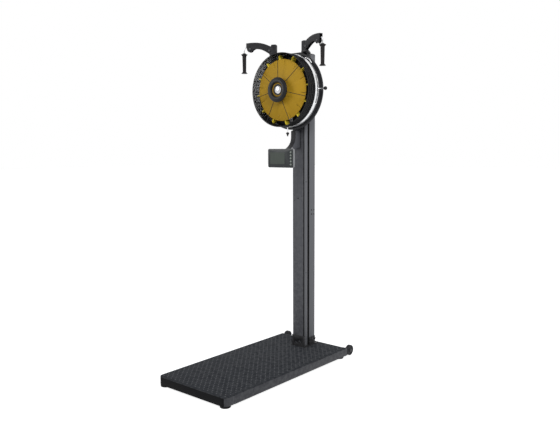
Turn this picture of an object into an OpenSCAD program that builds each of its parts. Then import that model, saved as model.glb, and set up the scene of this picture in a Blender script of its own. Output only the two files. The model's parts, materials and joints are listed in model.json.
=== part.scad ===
// Standing air-resistance pull trainer: platform, column, caged fan, console, two arms with handles.
// X runs to the user's left and right, the platform's front end is at -Y, Z is up, floor at z = 0.

/* [Platform] */
// Platform width over the rails
platform_w = 589; // [520:1:680]
// Deck length, front edge to rear edge
deck_l = 1206; // [1150:1:1300]
// Height of the deck's walking surface
deck_top = 66; // [60:1:80]
// Thickness of the deck plate
deck_t = 3; // [2:0.5:5]
// Plan radius of the deck's front corners
deck_corner_r = 36; // [25:1:50]
// Width of each side rail
rail_w = 40; // [30:1:50]
// Wall of the rails
rail_wall = 3; // [2:0.5:4]
// Height of the rubber feet
foot_h = 12; // [8:1:16]
// Radius of the rubber feet
foot_r = 32; // [22:1:34]
// Transport wheel radius
wheel_r = 36; // [28:1:38]
// Transport wheel width
wheel_w = 22; // [16:1:26]
// Wheel axle radius
wheel_axle_r = 6; // [4:0.5:8]

/* [Column] */
// Column width
column_w = 92; // [80:1:110]
// Column depth, front cover to back
column_d = 132; // [120:1:150]
// Distance of the column's front face behind the fan's reference plane
column_front_y = 383; // [370:1:395]
// Distance from the platform's front edge to the column
column_setback = 1029; // [1000:1:1050]
// Height of the column's top end
column_top = 2104; // [2080:1:2130]
// Depth of the side channels
channel_d = 10; // [6:1:14]
// Thickness of the front cover
cover_t = 4; // [3:0.5:6]
// Plate thickness of the column foot
foot_plate_t = 5; // [4:0.5:8]
// Height of the column foot's upstand
foot_plate_h = 74; // [60:1:90]

/* [Fan] */
// Height of the fan's axis
fan_z = 1849; // [1835:1:1855]
// Outside radius of the cage
cage_r = 242; // [239:1:244]
// Wall of the band and of the rear shell
shell_t = 3; // [2:0.5:4]
// Front plane of the cage
cage_front_y = 186; // [182:1:190]
// Front edge of the bright band
band_y = 261; // [256:1:265]
// Front edge of the rear shell
shell_y = 293; // [290:1:297]
// Rear plane of the rear shell
shell_back_y = 337; // [334:1:338]
// Wire radius of the cage
wire_r = 2.5; // [2:0.25:3]
// Number of radial guard spokes
spoke_count = 7; // [5:1:9]
// Number of blades
blade_count = 12; // [8:1:16]
// Radius of the fan disc
disc_r = 201; // [190:1:212]
// Radius at the blade tips
blade_tip_r = 231; // [220:1:234]
// Depth of a blade along the axis
blade_d = 42; // [34:1:46]
// Plate thickness of the disc
disc_t = 3; // [2:0.5:4]
// Outer radius of the guard's hub ring
hub_ring_r = 81; // [76:1:92]
// Inner radius of the guard's hub ring
hub_ring_hole_r = 48; // [46:1:52]
// Radius of the fixed axle
axle_r = 10; // [8:0.5:12]
// Radius of the hub sleeve that runs on the axle
sleeve_r = 20; // [17:0.5:24]
// Radius of the damper knob
knob_r = 12; // [10:0.5:15]
// Distance of the damper knob's centre from the fan's axis
knob_reach = 302; // [285:1:310]

/* [Arms] */
// Distance of each arm's root from the middle plane
arm_root_x = 113; // [108:1:118]
// Place of each arm's root along Y
arm_root_y = 294; // [290:1:298]
// Angle of the arms forward of the X axis
arm_angle = 20.9; // [18:0.1:22]
// Arm thickness
arm_t = 24; // [22:1:28]
// Wall of the arm casting
arm_wall = 3; // [2:0.5:4]
// Length of the arm from its root to its tip
arm_l = 218; // [214:1:226]
// Cord radius
cord_r = 1.75; // [1.5:0.25:2]
// Radius of the cord's path on the small pulleys
pulley_path_r = 14; // [13:0.5:15]
// Width of the small pulleys
pulley_w = 10; // [8:0.5:12]
// Radius of the pulley bolts
pulley_bolt_r = 4; // [3:0.5:5]
// Height of the tip pulley above the crossbeam
tip_rise = 41; // [36:1:46]
// Height of the root pulley above the crossbeam
root_rise = 23; // [20:1:26]
// Height of the root block above the crossbeam
block_h = 62; // [54:1:70]
// Height of the arm's tip above the crossbeam
arm_rise = 80; // [74:1:88]
// Bend radius of the cord guide at the arm's mouth
horn_bend_r = 20; // [18:1:24]
// Outside radius of the cord guide tube
horn_r = 5; // [4:0.5:6]

/* [Handles] */
// Grip length between the end discs
grip_l = 124; // [110:1:140]
// Grip radius at the top
grip_top_r = 14; // [12:0.5:16]
// Grip radius at the bottom
grip_bottom_r = 12; // [11:0.5:14]
// Radius of the end discs
handle_disc_r = 22; // [18:1:26]
// Cord length between the guide's mouth and the handle's top end at rest
cord_out = 19; // [17:1:32]

/* [Drive] */
// Radius of the cord's path on a spool
spool_path_r = 30; // [27:0.5:34]
// Width of a spool
spool_w = 14; // [12:0.5:15]

/* [Console] */
// Console width
console_w = 218; // [190:1:224]
// Console height
console_h = 125; // [110:1:135]
// Console thickness
console_t = 18; // [14:1:24]
// Height of the console's middle
console_z = 1401; // [1390:1:1410]
// Place of the console's front face along Y
console_front_y = 194; // [178:1:198]
// Button radius
button_r = 6; // [4:0.5:7]
// Distance between buttons
button_pitch = 20; // [17:1:22]
// Height of a button above the panel
button_h = 3; // [2.5:0.5:4]

/* [Fits] */
// Radial clearance of a shaft in its bore
run_fit = 0.05; // [0.02:0.01:0.1]
// Gap between neighbouring parts that move past each other
side_gap = 0.4; // [0.3:0.1:1]
// Depth by which a pressed stem bites
press_fit = 0.2; // [0.1:0.05:0.3]

/* [Hidden] */
$fn = 64;
eps = 0.01;
front_y = column_front_y - column_setback;
deck_back_y = front_y + deck_l;
half_w = platform_w / 2;
rail_top = deck_top - deck_t;
rail_h = rail_top - foot_h;
rail_front_y = front_y + deck_corner_r + rail_w;
wheel_y = -front_y - wheel_r;
wheel_lift = 3;
wheel_z = wheel_r + wheel_lift;
rail_back_y = wheel_y - wheel_r - 4;
tongue_t = 10;
tongue_l = 40;
tongue_h = 28;
wheel_x = half_w - wheel_w / 2;
tongue_x = half_w - wheel_w - side_gap - tongue_t;
bolt_head_t = 4;
foot_inset = 2;
foot_front_y = front_y + foot_r + foot_inset;
foot_rear_y = deck_back_y - foot_r - 12;
foot_x = half_w - foot_r - foot_inset;
crossbar_w = 40;
crossbar_lift = 8;
crossbar_z = foot_h + crossbar_lift;
crossbar_h = rail_top - crossbar_z;
crossbar_y = [front_y + 300, front_y + 620, column_front_y - 70];
rear_bar_y = column_front_y + 20;
rear_bar_l = deck_back_y - rear_bar_y;

column_half = column_w / 2;
column_core_y = column_front_y + cover_t;
column_back_y = column_front_y + column_d;
groove_1 = [column_core_y, column_front_y + 14];
groove_2 = [column_front_y + 48, column_front_y + 69];
column_base = deck_top + foot_plate_t;
cap_t = 6;
foot_plate_half = column_half + foot_plate_t;
foot_front = column_front_y - foot_plate_t;
foot_back = column_back_y + 10;
foot_bolt_y = [column_front_y + 97, column_front_y + 122];
foot_bolt_z = deck_top + 41;
foot_flange = 12;
front_cheek_w = 14;
rear_cheek_h = 52;
strip_y = (groove_1[1] + groove_2[0]) / 2;
strip_screw_z = [598, 1236, 1900];
slot_r = 6;
slot_l = 26;

cord_joint = 0.02;
spoke_t = 3;
screen_r = cage_r - wire_r - spoke_t / 2;
screen_t = 1.2;
screen_gap = 0.1;
guard_rise = 18;
guard_y = cage_front_y - guard_rise;
guard_shoulder_r = cage_r - 16;
side_ring_pitch = 18;
hub_y = cage_front_y - 23;
hub_ring_y = guard_y - 15;
hub_ring_t = guard_y + wire_r - spoke_t / 2 - hub_ring_y;
disc_hub_y = cage_front_y + 10;
disc_edge_y = cage_front_y + 28;
disc_hub_r = 45;
blade_in_r = 70;
blade_t = 4;
blade_phase = 7;
slit_w = 2.4;
sleeve_back_y = column_front_y - 8;
boss_r = 60;
boss_t = 14;
back_plate_t = 3;
flange_r = cage_r + 16;
flange_y = shell_back_y - 17;
flange_t = 5;
flange_top = fan_z + cage_r - 0.5;
damper_t = 3;
damper_r = cage_r - shell_t - 3;
damper_y = shell_back_y - back_plate_t - side_gap - damper_t;
lever_y = shell_y - 8;
lever_r = 3.5;
knob_neck_r = 4;
knob_seat = sqrt(knob_r * knob_r - knob_neck_r * knob_neck_r);
damper_flange_r = damper_r - 8;
damper_lip_t = 3;
lever_root_w = 28;
lever_slot_angle = 22;
lever_slot_w = 2 * lever_r + 2;
window_count = 8;
window_in_r = 95;
window_out_r = 205;
window_angle = 26;
spool_y = [shell_back_y + 4 + spool_w / 2, shell_back_y + 4 + 1.5 * spool_w + 2];
spool_barrel_r = spool_path_r - cord_r - 0.3;
spool_flange_r = spool_path_r + 6;
bracket_plate_t = 5;
bracket_x = spool_flange_r + 8;
bracket_half_h = 70;

beam_top = column_top - 2;
beam_t = 9;
beam_z = beam_top - beam_t;
beam_box_x = 108;
beam_box_y = shell_back_y + 3;
beam_box_z = 2040;
beam_wall = 2;
beam_cord_z = beam_z - 4;
beam_pulley_z = beam_cord_z - pulley_path_r;
beam_pulley_x = [spool_path_r - pulley_path_r, spool_path_r + pulley_path_r];
pulley_out_r = pulley_path_r + 3;
arm_boss = (arm_t - pulley_w) / 2 - arm_wall - side_gap;
pulley_root_r = pulley_path_r - cord_r - 0.25;

lobe_r = 22;
tip_s = arm_l - lobe_r - 6;
tip_z = beam_top + tip_rise;
block_l = 38;
block_top = beam_top + block_h;
block_r = 8;
block_lid = 14;
root_s = block_l + 12;
root_z = beam_top + root_rise;
tip_top_z = tip_z + pulley_path_r;
horn_s = arm_l - 1;
horn_out_s = horn_s + horn_bend_r;
horn_out_z = tip_top_z - horn_bend_r;
horn_lead = 12;
handle_top = horn_out_z - cord_out;
handle_cap_h = 8;
disc_h = 3;
neck_r = 5;
grip_top = handle_top - handle_cap_h - disc_h;
socket_d = 6;

console_back_y = console_front_y + console_t;
bezel_t = 2;
console_corner_r = 10;
screen_w = 132;
screen_h = 84;
screen_x = -26;
button_x = console_w / 2 - 20;
tilt_y = console_back_y + 14;
tilt_z = console_z + console_h / 2 - 20;
tilt_pin_r = 4;
ear_t = 5;
arm_half_w = 20;
bracket_h = 120;
bracket_z = tilt_z + 24;
bracket_top = bracket_z + bracket_h;
bracket_foot_t = 4;
bracket_depth = 48;
bracket_round = 8;
thumb_h = 60;
thumb_nub_h = 9;
thumb_cone_h = 9;
thumb_rim_h = 5;
thumb_r = 10.5;
thumb_nub_r = 4.5;
thumb_stem_r = 3;
thumb_y = band_y + 10;
thumb_z = fan_z - cage_r - thumb_h;

// Cylinder along Y from y0 to y1
module y_rod(r, y0, y1) {
  translate([0, y0, 0]) rotate([-90, 0, 0]) cylinder(r = r, h = y1 - y0);
}

// Cylinder along X, centred
module x_rod(r, l) {
  rotate([0, 90, 0]) cylinder(r = r, h = l, center = true);
}

// Body of revolution about the fan's axis from an outline of [radius, y] points
module turned(outline) {
  translate([0, 0, fan_z]) rotate([-90, 0, 0]) rotate_extrude($fn = 96) polygon(outline);
}

// Rectangle in plan with rounded corners
module round_box(size, r) {
  translate([r, 0, 0]) cube([size[0] - 2 * r, size[1], size[2]]);
  translate([0, r, 0]) cube([size[0], size[1] - 2 * r, size[2]]);
  for (x = [r, size[0] - r], y = [r, size[1] - r])
    translate([x, y, 0]) cylinder(r = r, h = size[2]);
}

// Plan of the deck: rounded front corners, square rear
module deck_plan(inset) {
  r = deck_corner_r - inset;
  w = half_w - inset;
  f = front_y + inset;
  translate([-w, f + r]) square([2 * w, deck_back_y - f - r]);
  translate([-w + r, f]) square([2 * (w - r), r + eps]);
  for (x = [-w + r, w - r]) translate([x, f + r]) circle(r = r);
}

module deck_plate() {
  color("dimgray") translate([0, 0, rail_top]) linear_extrude(deck_t) deck_plan(0);
}

// Box-section rail with a tongue at its rear end that carries the wheel
module side_rail(side) {
  color("darkslategray") scale([side, 1, 1]) {
    difference() {
      translate([half_w - rail_w, rail_front_y, foot_h]) cube([rail_w, rail_back_y - rail_front_y, rail_h]);
      translate([half_w - rail_w + rail_wall, rail_front_y - 1, foot_h + rail_wall])
        cube([rail_w - 2 * rail_wall, rail_back_y - rail_front_y + 2, rail_h - 2 * rail_wall]);
    }
    difference() {
      hull() {
        translate([tongue_x, rail_back_y - tongue_l, wheel_z - tongue_h / 2])
          cube([tongue_t, tongue_l, rail_top - rail_wall + eps - wheel_z + tongue_h / 2]);
        translate([tongue_x + tongue_t / 2, wheel_y, wheel_z]) x_rod(tongue_h / 2, tongue_t);
      }
      translate([tongue_x + tongue_t / 2, wheel_y, wheel_z]) x_rod(wheel_axle_r, tongue_t + 2);
    }
  }
}

// Front end of the platform frame, with round outer corners
module front_rail() {
  inner_l = platform_w - 2 * rail_w;
  color("darkslategray") difference() {
    translate([0, 0, foot_h]) linear_extrude(rail_h) difference() {
      intersection() {
        deck_plan(0);
        translate([-half_w, front_y]) square([platform_w, rail_front_y - front_y]);
      }
      translate([-half_w + rail_w, front_y + rail_w]) square([platform_w - 2 * rail_w, rail_w + deck_corner_r]);
    }
    translate([-inner_l / 2, front_y + rail_wall, foot_h + rail_wall])
      cube([inner_l, rail_w - 2 * rail_wall, rail_h - 2 * rail_wall]);
  }
}

// Three cross tubes and the wide rear plate under the column
module crossbars() {
  l = platform_w - 2 * rail_w;
  color("darkslategray") {
    for (y = crossbar_y)
      difference() {
        translate([-l / 2, y, crossbar_z]) cube([l, crossbar_w, crossbar_h]);
        translate([-l / 2 - 1, y + rail_wall, crossbar_z + rail_wall])
          cube([l + 2, crossbar_w - 2 * rail_wall, crossbar_h - 2 * rail_wall]);
      }
    difference() {
      translate([-l / 2, rear_bar_y, crossbar_z]) cube([l, rear_bar_l, crossbar_h]);
      translate([-l / 2 - 1, rear_bar_y + rail_wall, crossbar_z + rail_wall])
        cube([l + 2, rear_bar_l - 2 * rail_wall, crossbar_h - 2 * rail_wall]);
    }
  }
}

module feet(y, h) {
  color("black") for (side = [-1, 1]) translate([side * foot_x, y, 0]) cylinder(r = foot_r, h = h);
}

module wheel(side) {
  color("lightgray") translate([side * wheel_x, wheel_y, wheel_z])
    difference() {
      x_rod(wheel_r, wheel_w);
      x_rod(wheel_axle_r + run_fit, wheel_w + 2);
      for (face = [-1, 1]) translate([face * wheel_w / 2, 0, 0]) difference() {
        x_rod(wheel_r - 6, 6);
        x_rod(wheel_axle_r + 6, 8);
      }
    }
}

// Wheel bolts, column foot bolts and the column's screws
module frame_bolts() {
  color("silver") {
    for (side = [-1, 1]) scale([side, 1, 1]) {
      translate([(tongue_x + half_w) / 2, wheel_y, wheel_z]) x_rod(wheel_axle_r, half_w - tongue_x);
      translate([half_w + bolt_head_t / 2 + side_gap, wheel_y, wheel_z]) x_rod(wheel_axle_r + 5, bolt_head_t);
      translate([half_w + side_gap / 2, wheel_y, wheel_z]) x_rod(wheel_axle_r, side_gap + eps);
      translate([tongue_x - bolt_head_t / 2, wheel_y, wheel_z]) x_rod(wheel_axle_r + 5, bolt_head_t);
      for (y = foot_bolt_y) translate([foot_plate_half + bolt_head_t / 2, y, foot_bolt_z]) x_rod(8, bolt_head_t);
      for (z = strip_screw_z) translate([column_half + 1, strip_y, z]) x_rod(4, 2);
    }
  }
}

// Base plate with a front upstand, side cheeks and two slanted slots
module column_foot() {
  color("dimgray") difference() {
    union() {
      translate([-foot_plate_half - foot_flange, foot_front, deck_top])
        cube([2 * (foot_plate_half + foot_flange), foot_back - foot_front, foot_plate_t]);
      translate([-foot_plate_half, foot_front, column_base])
        cube([2 * foot_plate_half, foot_plate_t, foot_plate_h]);
      for (x = [-foot_plate_half, column_half])
        translate([x, column_front_y, column_base]) cube([foot_plate_t, front_cheek_w, foot_plate_h]);
      for (x = [-foot_plate_half, column_half])
        translate([x, groove_2[1], column_base]) cube([foot_plate_t, column_back_y - groove_2[1], rear_cheek_h]);
    }
    for (x = [-15, 17]) translate([x, foot_front - 1, deck_top + 32 + 0.35 * x])
      rotate([-90, 0, 0]) rotate([0, 0, 35]) {
        translate([-slot_l / 2 + slot_r, -slot_r, 0]) cube([slot_l - 2 * slot_r, 2 * slot_r, foot_plate_t + 2]);
        for (e = [-1, 1]) translate([e * (slot_l / 2 - slot_r), 0, 0]) cylinder(r = slot_r, h = foot_plate_t + 2);
      }
  }
}

// Extruded column with two channels down each side
module column() {
  c = column_half - channel_d;
  h = column_half;
  right = [
    [c, column_core_y], [c, groove_1[1]], [h, groove_1[1]], [h, groove_2[0]], [c, groove_2[0]],
    [c, groove_2[1]], [h, groove_2[1]], [h, column_back_y]
  ];
  left = [for (i = [len(right) - 1:-1:0]) [-right[i][0], right[i][1]]];
  hollow = c - 5;
  color("gray") translate([0, 0, column_base]) linear_extrude(column_top - column_base)
    difference() {
      polygon(concat(right, left));
      translate([-hollow, column_core_y + 6]) square([2 * hollow, column_d - cover_t - 12]);
    }
}

// Flat cover on the column's front, with its pattern of holes
module column_cover() {
  hole_z = 1121;
  color("gray") difference() {
    translate([-column_half, column_front_y, column_base + eps])
      cube([column_w, cover_t, column_top - column_base - eps]);
    for (x = [-32, 32], z = [-16, 16]) translate([x, 0, hole_z + z]) y_rod(2.6, column_front_y - 1, column_core_y + 1);
    translate([0, 0, hole_z]) y_rod(5, column_front_y - 1, column_core_y + 1);
    for (x = [-18, 0, 18]) translate([x, 0, hole_z + 34]) y_rod(1.6, column_front_y - 1, column_core_y + 1);
  }
}

// Cap that slopes down at the back
module column_cap() {
  y0 = column_front_y + 20;
  color("dimgray") translate([-column_half, 0, column_top])
    rotate([90, 0, 90]) linear_extrude(column_w)
      polygon([
        [column_front_y, 0], [column_back_y, 0], [column_back_y - 10, cap_t / 2], [y0 + 30, cap_t], [y0, cap_t],
        [column_front_y, cap_t / 2]
      ]);
}

// Yoke between the column and the rear shell: it holds the axle and frames the spools
module drive_bracket() {
  y0 = shell_back_y;
  y1 = column_front_y;
  color("dimgray") difference() {
    union() {
      translate([-bracket_x - bracket_plate_t, y1 - bracket_plate_t, fan_z - bracket_half_h])
        cube([2 * (bracket_x + bracket_plate_t), bracket_plate_t, 2 * bracket_half_h]);
      for (x = [-bracket_x - bracket_plate_t, bracket_x])
        translate([x, y0, fan_z - bracket_half_h]) cube([bracket_plate_t, y1 - y0, 2 * bracket_half_h]);
    }
    translate([0, 0, fan_z]) y_rod(axle_r, y1 - bracket_plate_t - 1, y1 + 1);
  }
}

module fan_axle() {
  color("silver") translate([0, 0, fan_z]) {
    y_rod(axle_r, hub_y + 22, column_front_y);
    y_rod(axle_r + 5, column_front_y - bracket_plate_t - 3, column_front_y - bracket_plate_t);
  }
}

// Rear half of the cage: a wall and a back plate with air windows and a boss for the damper
module rear_shell() {
  wall_in = cage_r - shell_t;
  color("dimgray") difference() {
    union() {
      turned([
        [wall_in, shell_y], [cage_r - 1, shell_y], [cage_r - 1, shell_back_y - 8], [cage_r - 9, shell_back_y],
        [sleeve_r + 4, shell_back_y], [sleeve_r + 4, shell_back_y - back_plate_t],
        [wall_in - 8, shell_back_y - back_plate_t], [wall_in, shell_back_y - back_plate_t - 8]
      ]);
      turned([
        [sleeve_r + 4, shell_back_y - back_plate_t - boss_t], [boss_r, shell_back_y - back_plate_t - boss_t],
        [boss_r, shell_back_y - back_plate_t + eps], [sleeve_r + 4, shell_back_y - back_plate_t + eps]
      ]);
    }
    for (i = [0:window_count - 1])
      translate([0, shell_back_y + 1, fan_z]) rotate([90, i * 360 / window_count, 0])
        linear_extrude(back_plate_t + 2) window_plan();
  }
}

// Flange round the rear shell, cut flat under the crossbeam
module shell_flange() {
  color("dimgray") difference() {
    turned([
      [cage_r - 1, flange_y], [flange_r, flange_y], [flange_r, flange_y + flange_t], [cage_r - 1, flange_y + flange_t]
    ]);
    translate([-flange_r, flange_y - 1, flange_top]) cube([2 * flange_r, flange_t + 2, flange_r]);
  }
}

// One air window, a sector of a ring
module window_plan() {
  a = window_angle / 2;
  steps = 6;
  outer = [for (i = [0:steps]) window_out_r * [cos(-a + i * 2 * a / steps), sin(-a + i * 2 * a / steps)]];
  inner = [for (i = [steps:-1:0]) window_in_r * [cos(-a + i * 2 * a / steps), sin(-a + i * 2 * a / steps)]];
  polygon(concat(outer, inner));
}

// Bright band round the cage, slotted for the damper lever
module rim_band() {
  color("gainsboro") difference() {
    turned([
      [cage_r - shell_t, band_y], [cage_r, band_y], [cage_r, shell_y], [cage_r - shell_t, shell_y]
    ]);
    translate([0, lever_y - lever_slot_w / 2, fan_z]) rotate([-90, 0, 0]) linear_extrude(lever_slot_w)
      polygon([[0, 0], for (i = [-4:4]) 300 * [cos(i * lever_slot_angle / 4), sin(i * lever_slot_angle / 4)]]);
  }
}

// Ring of square bar about the fan's axis, from its outer radius inwards
module bar_ring(r, y, w) {
  turned([[r - w, y], [r, y], [r, y + w], [r - w, y + w]]);
}

// Cage front: the rim ring and the radial spokes, which bend back to it at their shoulders
module wire_guard() {
  half = spoke_t / 2;
  spoke_y = guard_y + wire_r - half;
  color("black") {
    bar_ring(cage_r, cage_front_y, 2 * wire_r);
    for (i = [0:spoke_count - 1])
      translate([0, 0, fan_z]) rotate([0, -90 + i * 360 / spoke_count, 0]) {
        translate([hub_ring_r - 4, spoke_y, -half]) cube([guard_shoulder_r - hub_ring_r + 4, spoke_t, spoke_t]);
        hull() {
          translate([guard_shoulder_r - spoke_t, spoke_y, -half]) cube(spoke_t);
          translate([cage_r - wire_r - half, cage_front_y + wire_r - half, -half]) cube(spoke_t);
        }
      }
  }
}

// Cage side: rings and bars outside the screen
module wire_rings() {
  w = 2 * wire_r;
  bars = 3 * spoke_count;
  color("black") {
    for (step = [1:3]) bar_ring(cage_r, cage_front_y + step * side_ring_pitch, w * 0.8);
    bar_ring(cage_r, band_y - w, w);
    for (i = [0:bars - 1])
      translate([0, 0, fan_z]) rotate([0, (i + 0.5) * 360 / bars, 0])
        translate([screen_r, cage_front_y + w, -spoke_t / 2])
          cube([spoke_t, band_y - cage_front_y - 2 * w, spoke_t]);
  }
}

// Fine screen round the cage's side, drawn as a plain thin wall
module guard_screen() {
  y0 = cage_front_y + 2 * wire_r;
  y1 = band_y - 2 * wire_r;
  r1 = screen_r - screen_gap;
  color("black") turned([[r1 - screen_t, y0], [r1, y0], [r1, y1], [r1 - screen_t, y1]]);
}

// Dished ring that the guard's spokes hold in front of the hub
module hub_ring() {
  color("dimgray") turned([
    [hub_ring_hole_r, hub_ring_y], [hub_ring_r - 14, hub_ring_y], [hub_ring_r, hub_ring_y + 8],
    [hub_ring_r, hub_ring_y + hub_ring_t], [hub_ring_hole_r + 4, hub_ring_y + hub_ring_t],
    [hub_ring_hole_r, hub_ring_y + 4]
  ]);
}

// Thumb knob on a stem under the bright band
module thumb_knob() {
  rim_z = thumb_nub_h + thumb_cone_h;
  color("black") translate([0, thumb_y, thumb_z]) {
    cylinder(r = thumb_nub_r, h = thumb_nub_h + eps);
    translate([0, 0, thumb_nub_h]) cylinder(r1 = thumb_nub_r + 1, r2 = thumb_r, h = thumb_cone_h);
    translate([0, 0, rim_z]) cylinder(r = thumb_r, h = thumb_rim_h);
    translate([0, 0, rim_z + thumb_rim_h]) cylinder(r1 = thumb_r, r2 = thumb_stem_r, h = thumb_cone_h / 2);
    translate([0, 0, rim_z]) cylinder(r = thumb_stem_r, h = thumb_h - rim_z + press_fit);
  }
}

// Height of the disc's front face along its slope
function disc_y(r) = disc_hub_y + (disc_edge_y - disc_hub_y) * (r - disc_hub_r) / (disc_r - disc_hub_r);

module fan_disc() {
  slit_r = disc_r * 0.8;
  color("goldenrod") difference() {
    turned([
      [disc_hub_r - 5, disc_y(disc_hub_r)], [disc_hub_r, disc_y(disc_hub_r)], [disc_r, disc_y(disc_r)],
      [disc_r, disc_y(disc_r) + disc_t], [disc_hub_r, disc_y(disc_hub_r) + disc_t],
      [disc_hub_r - 5, disc_y(disc_hub_r) + disc_t]
    ]);
    for (i = [0:blade_count - 1])
      translate([0, 0, fan_z]) rotate([0, -blade_phase - (i + 0.5) * 360 / blade_count, 0])
        translate([slit_r, disc_hub_y, -slit_w / 2]) cube([disc_r - slit_r + 2, blade_d, slit_w]);
  }
}

// Paddle blades behind the disc, reaching out past its edge
module fan_blades() {
  color("gold") for (i = [0:blade_count - 1])
    translate([0, 0, fan_z]) rotate([0, -blade_phase - i * 360 / blade_count, 0])
      translate([0, 0, -blade_t / 2]) linear_extrude(blade_t)
        polygon([
          [blade_in_r, disc_y(blade_in_r) + disc_t], [disc_r, disc_y(disc_r) + disc_t],
          [disc_r + 0.3, disc_y(disc_r)], [blade_tip_r - 8, disc_y(disc_r)], [blade_tip_r, disc_y(disc_r) + 8],
          [blade_tip_r, disc_y(disc_r) + blade_d - 8], [blade_tip_r - 8, disc_y(disc_r) + blade_d],
          [blade_in_r, disc_y(disc_r) + blade_d - 6]
        ]);
}

// Hub with the long sleeve that turns on the axle and carries the spools' clutches
module fan_hub() {
  bore = axle_r + run_fit;
  color("goldenrod") turned([
    [bore, hub_y + 22], [28, hub_y + 22], [28, hub_y + 6], [43, hub_y + 6], [43, disc_y(disc_hub_r)],
    [disc_hub_r - 5, disc_y(disc_hub_r)], [disc_hub_r - 5, disc_y(disc_hub_r) + disc_t + 20],
    [sleeve_r, disc_y(disc_hub_r) + disc_t + 30], [sleeve_r, sleeve_back_y - 2], [bore, sleeve_back_y - 2]
  ]);
}

module hub_cap() {
  color("silver") turned([
    [0, hub_y], [20, hub_y], [28, hub_y + 5], [28, hub_y + 22], [0, hub_y + 22]
  ]);
}

// Damper plate: it turns on the shell's boss, and its windows open and close the air
module damper_ring() {
  bore = boss_r + run_fit;
  y1 = damper_y + damper_t;
  color("dimgray") {
    difference() {
      turned([[bore, damper_y], [damper_flange_r, damper_y], [damper_flange_r, y1], [bore, y1]]);
      for (i = [0:window_count - 1])
        translate([0, y1 + 1, fan_z]) rotate([90, i * 360 / window_count, 0])
          linear_extrude(damper_t + 2) window_plan();
    }
    translate([0, 0, fan_z]) {
      translate([damper_flange_r - damper_lip_t, lever_y - lever_r, -lever_root_w / 2])
        cube([damper_lip_t, y1 - lever_y + lever_r, lever_root_w]);
      translate([damper_flange_r - eps, lever_y, 0]) rotate([0, 90, 0])
        cylinder(r = lever_r, h = knob_reach - knob_seat - damper_flange_r + eps);
    }
  }
}

// Ball knob with a flat seat on the lever's end
module damper_knob() {
  start = acos(-knob_neck_r / knob_r);
  color("black") translate([knob_reach, lever_y, fan_z]) rotate([0, 90, 0]) rotate_extrude()
    polygon(concat([[0, -knob_seat], [0, knob_r]], arc([0, 0], knob_r, 84, -start + 60, 12)));
}

// Turns a shape drawn along +X from the arm's root into the arm's own plane
module on_arm(side) {
  scale([side, 1, 1]) translate([arm_root_x, arm_root_y, 0]) rotate([0, 0, -arm_angle]) children();
}

// Extrudes an outline drawn as [distance along the arm, height] to a thickness about the arm's plane
module arm_slab(t) {
  translate([0, t / 2, 0]) rotate([90, 0, 0]) linear_extrude(t) children();
}

function bezier(p, n) = [for (i = [0:n]) let (t = i / n, u = 1 - t)
  u * u * u * p[0] + 3 * u * u * t * p[1] + 3 * u * t * t * p[2] + t * t * t * p[3]];
function arc(c, r, a0, a1, n) = [for (i = [0:n]) c + r * [cos(a0 + (a1 - a0) * i / n), sin(a0 + (a1 - a0) * i / n)]];

arm_crown = bezier([
  [block_l, beam_top + 0.62 * arm_rise], [0.44 * arm_l, beam_top + 0.98 * arm_rise],
  [0.64 * arm_l, beam_top + 1.08 * arm_rise], [arm_l, beam_top + arm_rise]
], 12);
arm_arch = bezier([
  [block_l + 10, beam_top], [0.32 * arm_l, beam_top + 0.34 * tip_rise],
  [0.51 * arm_l, beam_top + 1.02 * tip_rise], [tip_s - lobe_r - 16, tip_z]
], 10);
arm_outline = concat(
  [[block_l, beam_top]], arm_arch, arc([tip_s, tip_z], lobe_r, 205, 355, 12),
  [[arm_l, tip_z + lobe_r / 2]], [for (i = [12:-1:0]) arm_crown[i]]);
arm_cavity = concat(
  [[block_l - 1, beam_top - 1], [arm_l + 1, beam_top - 1], [arm_l + 1, arm_crown[12][1] - arm_wall]],
  [for (i = [12:-1:0]) arm_crown[i] - [0, arm_wall]], [[block_l - 1, arm_crown[0][1] - arm_wall]]);

// Arm casting: a channel that is open underneath and at its tip
module arm(side) {
  color("dimgray") on_arm(side) difference() {
    arm_slab(arm_t) polygon(arm_outline);
    arm_slab(arm_t - 2 * arm_wall) polygon(arm_cavity);
    for (p = [[tip_s, tip_z], [root_s, root_z]])
      translate([p[0], 0, p[1]]) y_rod(pulley_bolt_r, -arm_t, arm_t);
  }
}

// Root block on the crossbeam, hollow towards the arm
module root_block(side) {
  t = arm_t + 2;
  color("dimgray") on_arm(side) difference() {
    arm_slab(t) union() {
      translate([0, beam_top]) square([block_l, block_top - beam_top - block_r]);
      translate([block_r, beam_top]) square([block_l - 2 * block_r, block_top - beam_top]);
      for (s = [block_r, block_l - block_r]) translate([s, block_top - block_r]) circle(r = block_r);
    }
    translate([arm_wall + 2, -(arm_t - 2 * arm_wall) / 2, beam_top - 1])
      cube([block_l, arm_t - 2 * arm_wall, block_h - block_lid + 1]);
  }
}

// Pulley bolts through the arm's two cheeks
module arm_bolts(side) {
  color("silver") on_arm(side) for (p = [[tip_s, tip_z], [root_s, root_z]])
    translate([p[0], 0, p[1]]) {
      y_rod(pulley_bolt_r, -arm_t / 2, arm_t / 2);
      y_rod(pulley_bolt_r + 3, -arm_t / 2 - 3, -arm_t / 2);
      y_rod(pulley_bolt_r + 3, arm_t / 2, arm_t / 2 + 3);
    }
}

// Grooved pulley about the Y axis, at the origin, with bosses on both sides
module pulley(boss) {
  w = pulley_w / 2;
  bore = pulley_bolt_r + run_fit;
  rotate([-90, 0, 0]) rotate_extrude() polygon([
    [bore, -w - boss], [bore + 2.5, -w - boss], [bore + 2.5, -w], [pulley_out_r, -w], [pulley_root_r, -cord_r],
    [pulley_root_r, cord_r], [pulley_out_r, w], [bore + 2.5, w], [bore + 2.5, w + boss], [bore, w + boss]
  ]);
}

module tip_pulley(side) {
  color("black") on_arm(side) translate([tip_s, 0, tip_z]) pulley(arm_boss);
}

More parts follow.
